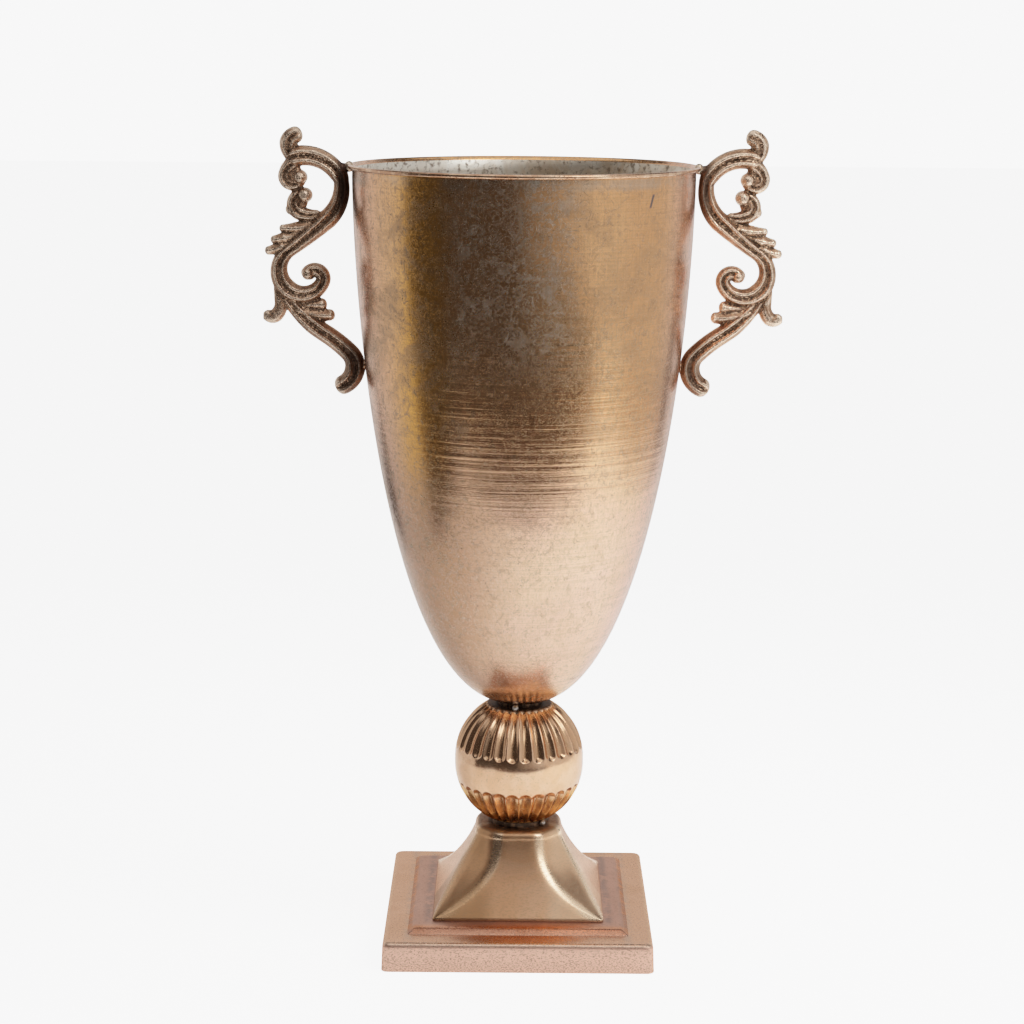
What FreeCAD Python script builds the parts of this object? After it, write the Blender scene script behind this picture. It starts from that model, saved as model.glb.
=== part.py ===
import FreeCAD, Part
import math
import os

import Sketcher

# A two-handled urn vase of spun, turned and cast brass on a square plinth.
# Millimetres, +Z up, the floor at Z = 0, the urn's axis on the Z axis and the
# two handles out along X. A cup stands on a fluted ball, the ball on a flared
# pedestal, the pedestal on a hollow plinth, and one rod pulls them together.

Vector = FreeCAD.Vector

os.makedirs("parts", exist_ok=True)
document = FreeCAD.newDocument("urn_vase")
sheet = document.addObject("Spreadsheet::Sheet", "Sizes")

# Driving sizes, in millimetres, degrees and plain shares.
SIZES = {
    # Cup: one superellipse curve from the mouth down to a small flat seat,
    # which stands a little clear of the ball on the flange of the boss.
    "cup_radius": 102.7,
    "cup_wall": 1.2,
    "cup_side_power": 1.755,
    "cup_round_power": 2.454,
    "cup_curve_height": 330.1,
    "cup_seat_gap": 2.41,
    "seat_radius": 15,
    "bead_radius": 1.35,
    "bead_offset": 1.25,
    "bead_rise": 1,
    # Ball: two cast half shells, each with a short straight skirt.
    "ball_radius": 40.3,
    "ball_middle": 109.4,
    "ball_skirt": 1.5,
    "ball_flat_radius": 19.5,
    "ball_hole_radius": 9.3,
    "cavity_radius": 32,
    "cavity_height": 17,
    "cavity_step_radius": 22,
    "cavity_step_height": 28,
    "flute_count": 30,
    "flute_width_share": 0.84,
    "flute_depth": 1.3,
    "upper_flute_start_angle": 11.5,
    "lower_flute_start_angle": 16,
    # Boss under the cup and collar under the ball.
    "boss_flange_radius": 14,
    "boss_hub_radius": 9,
    "boss_hub_length": 10,
    "boss_cover": 2,
    "collar_radius": 19,
    "collar_spigot_radius": 9,
    "collar_spigot_length": 2.5,
    # Pedestal: a square foot that turns into an octagon under the ball.
    "pedestal_base_half": 52.6,
    "pedestal_lip": 1.4,
    "pedestal_shoulder_half": 27.2,
    "pedestal_shoulder_flat_half": 14.4,
    "pedestal_shoulder_drop": 4.9,
    "pedestal_shoulder_inset": 4.4,
    "pedestal_top": 69.3,
    "pedestal_side_power": 1.2,
    "pedestal_corner_power": 2.4,
    "pedestal_corner_flat": 1.2,
    "pedestal_wall": 3,
    "pedestal_top_wall": 4,
    # Plinth: a square cast slab, hollow below, with a raised frame on top.
    "plinth_half": 82.6,
    "plinth_height": 18,
    "plinth_draft_angle": 2.2,
    "plinth_corner_radius": 4.5,
    "plinth_edge_round": 1.2,
    "plinth_wall": 3,
    "frame_half": 67.4,
    "frame_height": 3,
    "frame_slope_drop": 2.8,
    "frame_slope_run": 4,
    "recess_half": 56,
    # Fastening stack under the plinth's top plate.
    "rod_radius": 4,
    "rod_clearance": 0.1,
    "rod_hole_clearance": 0.4,
    "rod_end": 3,
    "clamp_half": 26,
    "clamp_thickness": 3,
    "washer_radius": 12,
    "washer_thickness": 1.6,
    "spring_radius": 7.4,
    "spring_thickness": 2,
    "spring_slot": 1.5,
    "nut_across_flats": 13,
    "nut_height": 6.5,
    # Handles: cast scrolls, every size a share of the handle's height.
    "handle_height": 160,
    "handle_depth_share": 0.92,
    "handle_ridge_share": 0.3,
    "handle_channel_share": 0.72,
    "lug_radius": 3.2,
    "lug_tip_radius": 2.4,
    "braze_radius": 3.6,
    "tack_radius": 2.1,
}

# Heights and depths that follow from the driving sizes, from the floor up.
DERIVED = {
    "plate_top": "=plinth_height + frame_height",
    "plate_under": "=plate_top - plinth_wall",
    "flat_rise": "=sqrt(ball_radius ^ 2 - ball_flat_radius ^ 2)",
    "ball_bottom": "=ball_middle - ball_skirt - flat_rise",
    "ball_top": "=ball_middle + ball_skirt + flat_rise",
    "seat_height": "=ball_top + cup_seat_gap",
    "seat_round": "=1 - (seat_radius / cup_radius) ^ cup_round_power",
    "seat_depth": "=cup_curve_height * seat_round ^ (1 / cup_side_power)",
    "mouth_height": "=seat_height + seat_depth",
}
cells = list(SIZES.items()) + list(DERIVED.items())
for row, (alias, value) in enumerate(cells, start=1):
    sheet.set("A%d" % row, alias)
    sheet.set("B%d" % row, str(value))
    sheet.setAlias("B%d" % row, alias)
document.recompute()


def size(name):
    """The present value of one cell of the sheet."""
    return float(getattr(sheet, name))


def cell(name):
    """The name of a cell as an expression writes it."""
    return "Sizes." + name


def origin_plane(body, role):
    """One of a body's own origin planes."""
    for feature in body.Origin.OriginFeatures:
        if feature.Role == role:
            return feature
    raise RuntimeError("no plane " + role)


def evaluated(owner, text):
    """The number an expression over the sheet gives."""
    return float(owner.evalExpression(text)) if isinstance(text, str) else float(text)


def new_sketch(body, name, role):
    """An empty sketch on one of a body's origin planes."""
    sketch = body.newObject("Sketcher::SketchObject", name)
    sketch.AttachmentSupport = (origin_plane(body, role), [""])
    sketch.MapMode = "FlatFace"
    return sketch


def fix_vertex(sketch, edge, across, up):
    """Bind the start of one line to two expressions, or to an axis at zero."""
    if across == "0":
        sketch.addConstraint(Sketcher.Constraint("PointOnObject", edge, 1, -2))
    else:
        distance = Sketcher.Constraint("DistanceX", -1, 1, edge, 1, evaluated(sketch, across))
        index = sketch.addConstraint(distance)
        sketch.setExpression("Constraints[%d]" % index, across)
    if up == "0":
        sketch.addConstraint(Sketcher.Constraint("PointOnObject", edge, 1, -1))
    else:
        distance = Sketcher.Constraint("DistanceY", -1, 1, edge, 1, evaluated(sketch, up))
        index = sketch.addConstraint(distance)
        sketch.setExpression("Constraints[%d]" % index, up)


def polygon_sketch(body, name, role, corners):
    """A closed outline of straight lines through corners given as expressions."""
    sketch = new_sketch(body, name, role)
    points = [Vector(evaluated(sketch, across), evaluated(sketch, up), 0) for across, up in corners]
    for start, end in zip(points, points[1:] + points[:1]):
        sketch.addGeometry(Part.LineSegment(start, end), False)
    for edge in range(len(corners)):
        following = (edge + 1) % len(corners)
        sketch.addConstraint(Sketcher.Constraint("Coincident", edge, 2, following, 1))
    for edge, (across, up) in enumerate(corners):
        fix_vertex(sketch, edge, across, up)
    return sketch


def turned_body(name, corners):
    """A body turned about the Z axis from a half section of straight lines."""
    body = document.addObject("PartDesign::Body", name)
    sketch = polygon_sketch(body, name + "_section", "XZ_Plane", corners)
    turn = body.newObject("PartDesign::Revolution", name + "_turn")
    turn.Profile = sketch
    turn.ReferenceAxis = (sketch, ["V_Axis"])
    turn.Angle = 360
    sketch.Visibility = False
    document.recompute()
    return body


def half_section_face(edges):
    """The face inside edges that close a half section in the X-Z plane."""
    return Part.Face(Part.Wire(Part.__sortEdges__(edges)))


def turned_solid(edges):
    """The solid that a closed half section makes about the Z axis."""
    turned = half_section_face(edges).revolve(Vector(0, 0, 0), Vector(0, 0, 1), 360)
    return turned if turned.ShapeType == "Solid" else Part.makeSolid(turned)


def in_section(across, up):
    """A point of a half section."""
    return Vector(across, 0, up)


def line(start, end):
    return Part.makeLine(start, end)


def flat_faces(corners):
    """One face if four corners lie in a plane, or else two triangles."""
    try:
        return [Part.Face(Part.makePolygon(corners + corners[:1]))]
    except Part.OCCError:
        first, second, third, fourth = corners
        halves = ([first, second, third], [first, third, fourth])
        return [Part.Face(Part.makePolygon(half + half[:1])) for half in halves]


def facet_loft(rings):
    """The solid with flat sides between rings that have the same number of corners."""
    count = len(rings[0])
    faces = [Part.Face(Part.makePolygon(ring + ring[:1])) for ring in (rings[0], rings[-1])]
    for lower, upper in zip(rings, rings[1:]):
        for corner in range(count):
            following = (corner + 1) % count
            faces += flat_faces([lower[corner], lower[following], upper[following], upper[corner]])
    shell = Part.makeShell(faces)
    shell.sewShape()
    solid = Part.makeSolid(shell)
    if solid.Volume < 0:
        solid.reverse()
    return solid


def shaped(name, shape):
    """A plain part that holds one computed shape."""
    part = document.addObject("Part::Feature", name)
    part.Shape = shape
    return part


# The cup is spun from sheet: one wall of even thickness with a rolled rim.

OUTER_ARCS = 6
INNER_STEPS = 9


def curve_radius(depth, radius, height):
    """The radius of the superellipse at a depth below the mouth."""
    share = 1 - (depth / height) ** size("cup_side_power")
    return radius * share ** (1 / size("cup_round_power"))


def cup_points(radius, height, last_across, steps):
    """Points of the superellipse r = R (1 - (d/H)^p)^(1/q) from the mouth down."""
    last_share = last_across / radius
    last_angle = math.acos(last_share ** (size("cup_round_power") / 2))
    points = []
    for step in range(steps + 1):
        angle = last_angle * step / steps
        across = radius * math.cos(angle) ** (2 / size("cup_round_power"))
        depth = height * math.sin(angle) ** (2 / size("cup_side_power"))
        points.append(in_section(across, size("mouth_height") - depth))
    return points


def arcs_through(points):
    """Arcs, each through three neighbouring points of a row."""
    trios = zip(points[::2], points[1::2], points[2::2])
    return [Part.Arc(*trio).toShape() for trio in trios]


def lines_through(points):
    """Straight edges from each point of a row to the next."""
    return [line(start, end) for start, end in zip(points, points[1:])]


inner_radius = size("cup_radius") - size("cup_wall")
inner_height = size("cup_curve_height") - size("cup_wall")
floor_height = size("seat_height") + size("cup_wall")
floor_radius = curve_radius(size("mouth_height") - floor_height, inner_radius, inner_height)

outer_points = cup_points(size("cup_radius"), size("cup_curve_height"), size("seat_radius"), 2 * OUTER_ARCS)
inner_points = cup_points(inner_radius, inner_height, floor_radius, INNER_STEPS)
outer_end = outer_points[-1]
inner_end = inner_points[-1]

BEAD_ANGLES = (-150, -105, -60, -15, 30, 75, 120)
bead_centre = in_section(size("cup_radius") + size("bead_offset"), size("mouth_height") + size("bead_rise"))
bead_points = []
for angle in BEAD_ANGLES:
    away = in_section(math.cos(math.radians(angle)), math.sin(math.radians(angle)))
    bead_points.append(bead_centre + away * size("bead_radius"))
rim_outer = size("cup_radius") + size("bead_offset") + size("bead_radius")
lip_height = size("mouth_height") + size("bead_rise") / 2
lip = in_section(inner_radius, lip_height)
floor_centre = in_section(0, inner_end.z)
seat_centre = in_section(0, outer_end.z)

outside = arcs_through(outer_points) + lines_through(outer_points[:1] + bead_points)
inside = lines_through(bead_points[-1:] + [lip] + inner_points + [floor_centre, seat_centre, outer_end])
cup_shape = turned_solid(outside + inside)
cup = shaped("cup", cup_shape)

# The cup filled in, to trim what is brazed to its outside.
mouth_centre = in_section(0, bead_points[-1].z)
filling = lines_through([bead_points[-1], mouth_centre, seat_centre, outer_end])
cup_mass = turned_solid(outside + filling)

# A threaded boss is brazed under the cup, and the rod screws up into it. The
# collar is the low turned ring between the ball and the pedestal.
BALL_TOP = cell("ball_top")
BALL_BOTTOM = cell("ball_bottom")
HUB_BOTTOM = "(%s - Sizes.boss_hub_length)" % BALL_TOP
BORE = "(Sizes.rod_radius + Sizes.rod_clearance)"
ROD_TOP = "(Sizes.seat_height - Sizes.boss_cover)"
ROD_HOLE = "(Sizes.rod_radius + Sizes.rod_hole_clearance)"
boss = turned_body("cup_boss", [
    ("0", cell("seat_height")),
    ("0", ROD_TOP),
    (BORE, ROD_TOP),
    (BORE, HUB_BOTTOM),
    (cell("boss_hub_radius"), HUB_BOTTOM),
    (cell("boss_hub_radius"), BALL_TOP),
    (cell("boss_flange_radius"), BALL_TOP),
    (cell("boss_flange_radius"), cell("seat_height")),
])
rod = turned_body("tie_rod", [
    ("0", cell("rod_end")),
    (cell("rod_radius"), cell("rod_end")),
    (cell("rod_radius"), ROD_TOP),
    ("0", ROD_TOP),
])
UPPER_SPIGOT = "(%s + Sizes.collar_spigot_length)" % BALL_BOTTOM
LOWER_SPIGOT = "(Sizes.pedestal_top - Sizes.collar_spigot_length)"
collar = turned_body("lower_collar", [
    (ROD_HOLE, LOWER_SPIGOT),
    (cell("collar_spigot_radius"), LOWER_SPIGOT),
    (cell("collar_spigot_radius"), cell("pedestal_top")),
    (cell("collar_radius"), cell("pedestal_top")),
    (cell("collar_radius"), BALL_BOTTOM),
    (cell("collar_spigot_radius"), BALL_BOTTOM),
    (cell("collar_spigot_radius"), UPPER_SPIGOT),
    (ROD_HOLE, UPPER_SPIGOT),
])

# The ball is two cast half shells with a row of flutes round each.

FLUTE_STEPS = 4
END_FACETS = 4
NECK_LATITUDE = 64


def half_ball(up):
    """One half shell: skirt, sphere, flat, neck hole and turned cavity."""
    skirt = size("ball_middle") + up * size("ball_skirt")
    middle = size("ball_middle")
    flat = skirt + up * size("flat_rise")
    outer = size("ball_radius")
    halfway = math.radians(30)
    equator = in_section(outer, skirt)
    bulge = in_section(outer * math.cos(halfway), skirt + up * outer * math.sin(halfway))
    shoulder = in_section(size("ball_flat_radius"), flat)
    straight = [
        in_section(size("ball_hole_radius"), flat),
        in_section(size("ball_hole_radius"), middle + up * size("cavity_step_height")),
        in_section(size("cavity_step_radius"), middle + up * size("cavity_step_height")),
        in_section(size("cavity_step_radius"), middle + up * size("cavity_height")),
        in_section(size("cavity_radius"), middle + up * size("cavity_height")),
        in_section(size("cavity_radius"), middle),
        in_section(outer, middle),
    ]
    edges = [Part.Arc(equator, bulge, shoulder).toShape(), line(shoulder, straight[0])]
    edges += [line(start, end) for start, end in zip(straight, straight[1:])]
    edges.append(line(straight[-1], equator))
    return turned_solid(edges)


def flute_ring(centre, up, latitude):
    """Crest, root and crest of a V-shaped flute across one meridian."""
    outward = in_section(math.cos(latitude), up * math.sin(latitude))
    half_turn = math.radians(180 / size("flute_count") * size("flute_width_share"))
    depth = size("flute_depth") * math.cos(latitude)
    half_width = size("ball_radius") * math.cos(latitude) * math.tan(half_turn)
    root = centre + outward * (size("ball_radius") - depth)
    crest = centre + outward * (size("ball_radius") + depth)
    return [crest - Vector(0, 2 * half_width, 0), root, crest + Vector(0, 2 * half_width, 0)]


def flute_cutter(up, start_latitude):
    """A V-shaped cutter bent along one meridian, ended by half a pyramid."""
    centre = in_section(0, size("ball_middle") + up * size("ball_skirt"))
    start = math.radians(start_latitude)
    stop = math.radians(NECK_LATITUDE)
    steps = range(FLUTE_STEPS + 1)
    rings = [flute_ring(centre, up, start + (stop - start) * step / FLUTE_STEPS) for step in steps]
    near, root, far = rings[0]
    middle = (near + far) * 0.5
    reach = (far - near).Length / 2
    back = in_section(math.sin(start), -up * math.cos(start))
    rim = [near]
    for corner in range(1, END_FACETS):
        angle = math.pi * corner / END_FACETS
        rim.append(middle - Vector(0, reach * math.cos(angle), 0) + back * (reach * math.sin(angle)))
    rim.append(far)
    slopes = [[first, second, root, first] for first, second in zip(rim, rim[1:])]
    end_faces = [Part.Face(Part.makePolygon(slope)) for slope in slopes]
    end_faces.append(Part.Face(Part.makePolygon(rim + rim[:1])))
    side_faces = []
    for lower, upper in zip(rings, rings[1:]):
        for first, second in ((0, 1), (1, 2), (2, 0)):
            side_faces += flat_faces([lower[first], lower[second], upper[second], upper[first]])
    side_faces.append(Part.Face(Part.makePolygon(rings[-1] + rings[-1][:1])))
    end_faces.append(Part.Face(Part.makePolygon([near, root, far, near])))
    side_faces.append(Part.Face(Part.makePolygon([near, root, far, near])))
    pieces = []
    for faces in (end_faces, side_faces):
        shell = Part.makeShell(faces)
        shell.sewShape()
        piece = Part.makeSolid(shell)
        if piece.Volume < 0:
            piece.reverse()
        pieces.append(piece)
    return pieces[0].fuse(pieces[1]).removeSplitter()


def fluted_half(name, up, start_latitude):
    """A half shell with its flutes cut round it."""
    shell = half_ball(up)
    cutter = flute_cutter(up, start_latitude)
    cutters = []
    for flute in range(int(round(size("flute_count")))):
        copy = cutter.copy()
        copy.rotate(Vector(0, 0, 0), Vector(0, 0, 1), 360 * flute / size("flute_count"))
        cutters.append(copy)
    return shaped(name, shell.cut(cutters))


knop_upper = fluted_half("knop_upper", 1, size("upper_flute_start_angle"))
knop_lower = fluted_half("knop_lower", -1, size("lower_flute_start_angle"))

# The pedestal is cast, square at its foot and eight-sided below the ball.

PEDESTAL_STEPS = 9
CAVITY_STEPS = 4
SHOULDER_STEPS = 3


def octagon(half, flat_half, height):
    """A square of half size half whose corners are cut back to flat_half."""
    corners = []
    for turn in range(4):
        angle = math.pi / 2 * turn
        for across, along in ((half, -flat_half), (half, flat_half)):
            x = across * math.cos(angle) - along * math.sin(angle)
            y = across * math.sin(angle) + along * math.cos(angle)
            corners.append(Vector(x, y, height))
    return corners


def flared(bottom, top, inset, steps):
    """The flared part between two heights, every side moved in by inset."""
    base_half = size("pedestal_base_half")
    base_flat = base_half - size("pedestal_corner_flat")
    rings = []
    for step in range(steps + 1):
        share = 1 - step / steps
        spread = share ** size("pedestal_side_power")
        corner_spread = share ** size("pedestal_corner_power")
        half = size("pedestal_shoulder_half") + (base_half - size("pedestal_shoulder_half")) * spread
        flat = size("pedestal_shoulder_flat_half")
        flat = flat + (base_flat - flat) * corner_spread
        height = top + (bottom - top) * share
        rings.append(octagon(half - inset, flat - inset, height))
    return facet_loft(rings)


plate_top = size("plate_top")
lip_top = plate_top + size("pedestal_lip")
shoulder_height = size("pedestal_top") - size("pedestal_shoulder_drop")
base_half = size("pedestal_base_half")
base_flat = base_half - size("pedestal_corner_flat")

foot = octagon(base_half, base_flat, plate_top)
foot_lip = facet_loft([foot, octagon(base_half, base_flat, lip_top)])
outer_flare = flared(lip_top, shoulder_height, 0, PEDESTAL_STEPS)
caps = []
for step in range(SHOULDER_STEPS + 1):
    angle = math.pi / 2 * step / SHOULDER_STEPS
    inset = size("pedestal_shoulder_inset") * (1 - math.cos(angle))
    height = shoulder_height + size("pedestal_shoulder_drop") * math.sin(angle)
    half = size("pedestal_shoulder_half") - inset
    flat = size("pedestal_shoulder_flat_half") - inset * math.tan(math.pi / 8)
    caps.append(octagon(half, flat, height))
shoulder = facet_loft(caps)
pedestal_mass = foot_lip.multiFuse([outer_flare, shoulder])

wall = size("pedestal_wall")
cavity_top = size("pedestal_top") - size("pedestal_top_wall")
cavity = flared(plate_top, cavity_top, wall, CAVITY_STEPS)
spigot_hole = Part.makeCylinder(
    size("collar_spigot_radius") + size("rod_clearance"),
    size("pedestal_top"),
    Vector(0, 0, plate_top),
)
pedestal = shaped("pedestal", pedestal_mass.cut([cavity, spigot_hole]))

# The plinth is a cast slab with a raised frame under the pedestal.


def square(body, name, half):
    """A square sketch about the origin on the floor plane of a body."""
    minus = "-(%s)" % half
    return polygon_sketch(body, name, "XY_Plane", [(minus, minus), (half, minus), (half, half), (minus, half)])


plinth = document.addObject("PartDesign::Body", "plinth")
slab_outline = square(plinth, "slab_outline", cell("plinth_half"))
slab = plinth.newObject("PartDesign::Pad", "slab")
slab.Profile = slab_outline
slab.setExpression("Length", cell("plinth_height"))
document.recompute()


def edges_where(shape, wanted):
    """The names of a shape's edges that a test picks."""
    return ["Edge%d" % number for number, edge in enumerate(shape.Edges, start=1) if wanted(edge)]


def is_upright(edge):
    return edge.BoundBox.ZLength > size("plinth_height") / 2


def is_on_top(edge):
    return edge.BoundBox.ZMin > size("plinth_height") - size("plinth_edge_round") / 2


side_faces = []
for number, face in enumerate(slab.Shape.Faces, start=1):
    away = face.normalAt(0, 0)
    if abs(away.z) < abs(away.x) + abs(away.y):
        side_faces.append("Face%d" % number)
draft = plinth.newObject("PartDesign::Draft", "draft")
draft.Base = (slab, side_faces)
draft.NeutralPlane = (origin_plane(plinth, "XY_Plane"), [""])
draft.setExpression("Angle", cell("plinth_draft_angle"))
document.recompute()
corners = plinth.newObject("PartDesign::Fillet", "corners")
corners.Base = (draft, edges_where(draft.Shape, is_upright))
corners.setExpression("Radius", cell("plinth_corner_radius"))
document.recompute()
edge_round = plinth.newObject("PartDesign::Fillet", "edge_round")
edge_round.Base = (corners, edges_where(corners.Shape, is_on_top))
edge_round.setExpression("Radius", cell("plinth_edge_round"))
document.recompute()

frame_outline = square(plinth, "frame_outline", cell("frame_half"))
frame_outline.AttachmentOffset = FreeCAD.Placement(Vector(0, 0, size("plinth_height")), FreeCAD.Rotation())
frame_outline.setExpression("AttachmentOffset.Base.z", cell("plinth_height"))
frame = plinth.newObject("PartDesign::Pad", "frame")
frame.Profile = frame_outline
frame.setExpression("Length", cell("frame_height"))
document.recompute()


def is_frame_top(edge):
    return edge.BoundBox.ZMin > size("plinth_height") + size("frame_height") / 2


frame_bevel = plinth.newObject("PartDesign::Chamfer", "frame_bevel")
frame_bevel.Base = (frame, edges_where(frame.Shape, is_frame_top))
frame_bevel.ChamferType = "Two distances"
frame_bevel.setExpression("Size", cell("frame_slope_drop"))
frame_bevel.setExpression("Size2", cell("frame_slope_run"))
document.recompute()

HOLLOW_HALF = "(Sizes.plinth_half - Sizes.plinth_wall)"
hollow_outline = square(plinth, "hollow_outline", HOLLOW_HALF)
hollow = plinth.newObject("PartDesign::Pocket", "hollow")
hollow.Profile = hollow_outline
hollow.Reversed = True
hollow.setExpression("Length", "Sizes.plinth_height - Sizes.plinth_wall")
recess_outline = square(plinth, "recess_outline", cell("recess_half"))
recess = plinth.newObject("PartDesign::Pocket", "recess")
recess.Profile = recess_outline
recess.Reversed = True
recess.setExpression("Length", cell("plate_under"))
rod_outline = new_sketch(plinth, "rod_outline", "XY_Plane")
rod_outline.addGeometry(Part.Circle(Vector(0, 0, 0), Vector(0, 0, 1), size("rod_radius")), False)
rod_outline.addConstraint(Sketcher.Constraint("Coincident", 0, 3, -1, 1))
hole_radius = rod_outline.addConstraint(Sketcher.Constraint("Radius", 0, size("rod_radius")))
rod_outline.setExpression("Constraints[%d]" % hole_radius, ROD_HOLE)
rod_hole = plinth.newObject("PartDesign::Pocket", "rod_hole")
rod_hole.Profile = rod_outline
rod_hole.Reversed = True
rod_hole.Type = "ThroughAll"
document.recompute()

# Clamp plate, washers and nut pull the stack together from below.


def plate_body(name, corners, bottom, thickness, hole):
    """A flat plate with a round hole, its underside at a height."""
    body = document.addObject("PartDesign::Body", name)
    outline = polygon_sketch(body, name + "_outline", "XY_Plane", corners)
    outline.AttachmentOffset = FreeCAD.Placement(Vector(0, 0, evaluated(outline, bottom)), FreeCAD.Rotation())
    outline.setExpression("AttachmentOffset.Base.z", bottom)
    pad = body.newObject("PartDesign::Pad", name + "_pad")
    pad.Profile = outline
    pad.setExpression("Length", thickness)
    bore_outline = new_sketch(body, name + "_bore_outline", "XY_Plane")
    bore_outline.addGeometry(Part.Circle(Vector(0, 0, 0), Vector(0, 0, 1), evaluated(outline, hole)), False)
    bore_outline.addConstraint(Sketcher.Constraint("Coincident", 0, 3, -1, 1))
    index = bore_outline.addConstraint(Sketcher.Constraint("Radius", 0, evaluated(outline, hole)))
    bore_outline.setExpression("Constraints[%d]" % index, hole)
    bore = body.newObject("PartDesign::Pocket", name + "_bore")
    bore.Profile = bore_outline
    bore.Reversed = True
    bore.Type = "ThroughAll"
    document.recompute()
    return body


PLATE_UNDER = cell("plate_under")
CLAMP_UNDER = "(%s - Sizes.clamp_thickness)" % PLATE_UNDER
WASHER_UNDER = "(%s - Sizes.washer_thickness)" % CLAMP_UNDER
SPRING_UNDER = "(%s - Sizes.spring_thickness)" % WASHER_UNDER
NUT_UNDER = "(%s - Sizes.nut_height)" % SPRING_UNDER

half = cell("clamp_half")
clamp_corners = [("-" + half, "-" + half), (half, "-" + half), (half, half), ("-" + half, half)]
clamp = plate_body("clamp_plate", clamp_corners, CLAMP_UNDER, cell("clamp_thickness"), ROD_HOLE)
washer = turned_body("flat_washer", [
    (ROD_HOLE, WASHER_UNDER),
    (cell("washer_radius"), WASHER_UNDER),
    (cell("washer_radius"), CLAMP_UNDER),
    (ROD_HOLE, CLAMP_UNDER),
])

spring = turned_body("spring_washer", [
    (ROD_HOLE, SPRING_UNDER),
    (cell("spring_radius"), SPRING_UNDER),
    (cell("spring_radius"), WASHER_UNDER),
    (ROD_HOLE, WASHER_UNDER),
])
slot_half = "(Sizes.spring_slot / 2)"
slot_outline = polygon_sketch(spring, "slot_outline", "XY_Plane", [
    ("0", "-" + slot_half),
    ("Sizes.spring_radius * 2", "-" + slot_half),
    ("Sizes.spring_radius * 2", slot_half),
    ("0", slot_half),
])
slot = spring.newObject("PartDesign::Pocket", "slot")
slot.Profile = slot_outline
slot.Reversed = True
slot.Type = "ThroughAll"

flat = "(Sizes.nut_across_flats / 2)"
point = "(Sizes.nut_across_flats / sqrt(3))"
nut_corners = [
    (point, "0"),
    (point + " / 2", flat),
    ("-" + point + " / 2", flat),
    ("-" + point, "0"),
    ("-" + point + " / 2", "-" + flat),
    (point + " / 2", "-" + flat),
]
nut = plate_body("hex_nut", nut_corners, NUT_UNDER, cell("nut_height"), BORE)
document.recompute()

# One limb is a chain of tangent arcs in the X-Z plane with a smoothly changing
# width. Start and radii are shares of the handle's height, the start counted
# from the rim's edge at mouth height; a right-hand turn has a minus sign.
# An arc is (radius, turn in degrees, width at its end).
LIMBS = {
    "main_scroll": {
        "start_shares": (0.195, 0.039),
        "heading_angle": 167.5,
        "width_share": 0.077,
        "arc_shares": [
            (0.153, 68.5, 0.069),
            (0.065, 28, 0.058),
            (0.163, 54, 0.076),
            (1.98, 5.5, 0.054),
            (-0.0924, -103, 0.075),
            (-0.085, -104, 0.056),
            (-0.0318, -171, 0.056),
        ],
    },
    "outer_spur": {
        "start_shares": (0.273, -0.431),
        "heading_angle": -101,
        "width_share": 0.02,
        "arc_shares": [
            (-0.97, -4, 0.035),
            (0.0593, 63, 0.043),
            (0.0237, 85, 0.034),
        ],
    },
    "lower_stem": {
        "start_shares": (0.230, -0.494),
        "heading_angle": -125.5,
        "width_share": 0.047,
        "arc_shares": [
            (-0.4615, -16.7, 0.07),
            (-0.591, -5.6, 0.0705),
            (0.53, 12.6, 0.0725),
            (0.0737, 52.5, 0.078),
            (0.08, 58.4, 0.074),
        ],
    },
    "middle_scroll": {
        "start_shares": (0.118, -0.1767),
        "heading_angle": -10,
        "width_share": 0.037,
        "arc_shares": [
            (0.116, 32.6, 0.058),
            (0.0364, 136, 0.044),
            (0.024, 53, 0.044),
        ],
    },
    "upper_scroll": {
        "start_shares": (0.203, 0.016),
        "heading_angle": -31.4,
        "width_share": 0.057,
        "arc_shares": [
            (-0.0827, -34.4, 0.046),
            (-0.0304, -139, 0.052),
            (-0.0295, -58, 0.05),
        ],
    },
    "finial": {
        "start_shares": (0.189, 0.0287),
        "heading_angle": 24,
        "width_share": 0.045,
        "arc_shares": [
            (0.0545, 78, 0.0694),
            (0.0385, 61.5, 0.063),
        ],
    },
    "upper_leaf_a": {
        "start_shares": (0.144, -0.2184),
        "heading_angle": -16.9,
        "width_share": 0.05,
        "arc_shares": [(0.252, 11.6, 0.0496), (0.311, 9.9, 0.029)],
    },
    "upper_leaf_b": {
        "start_shares": (0.173, -0.246),
        "heading_angle": -21,
        "width_share": 0.02,
        "arc_shares": [(0.43, 9.1, 0.05), (0.316, 7.6, 0.0315)],
    },
    "upper_leaf_c": {
        "start_shares": (0.204, -0.2757),
        "heading_angle": -32,
        "width_share": 0.024,
        "arc_shares": [(0.271, 10.6, 0.05), (0.262, 11.8, 0.034)],
    },
    "lower_leaf_a": {
        "start_shares": (0.2192, -0.5177),
        "heading_angle": 179.5,
        "width_share": 0.02,
        "arc_shares": [(-2.76, -1.2, 0.035), (-2.9, -1.2, 0.048)],
    },
    "lower_leaf_b": {
        "start_shares": (0.192, -0.5363),
        "heading_angle": -160,
        "width_share": 0.055,
        "arc_shares": [(-0.304, -11.8, 0.055), (-0.295, -12, 0.0446)],
    },
}
# Three scrolls end in a round button that stands a little proud of the limb.
EYE_RADIUS_SHARES = {"main_scroll": 0.023, "middle_scroll": 0.023, "upper_scroll": 0.024}
EYE_RING_SHARES = ((-1.15, 0.5), (-0.85, 1), (0.85, 1), (1.15, 0.5))
EYE_FACETS = 10
SECTION_ANGLE = 16
ROUND_END_SHARES = ((0.22, 0.86), (0.38, 0.5))


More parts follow.
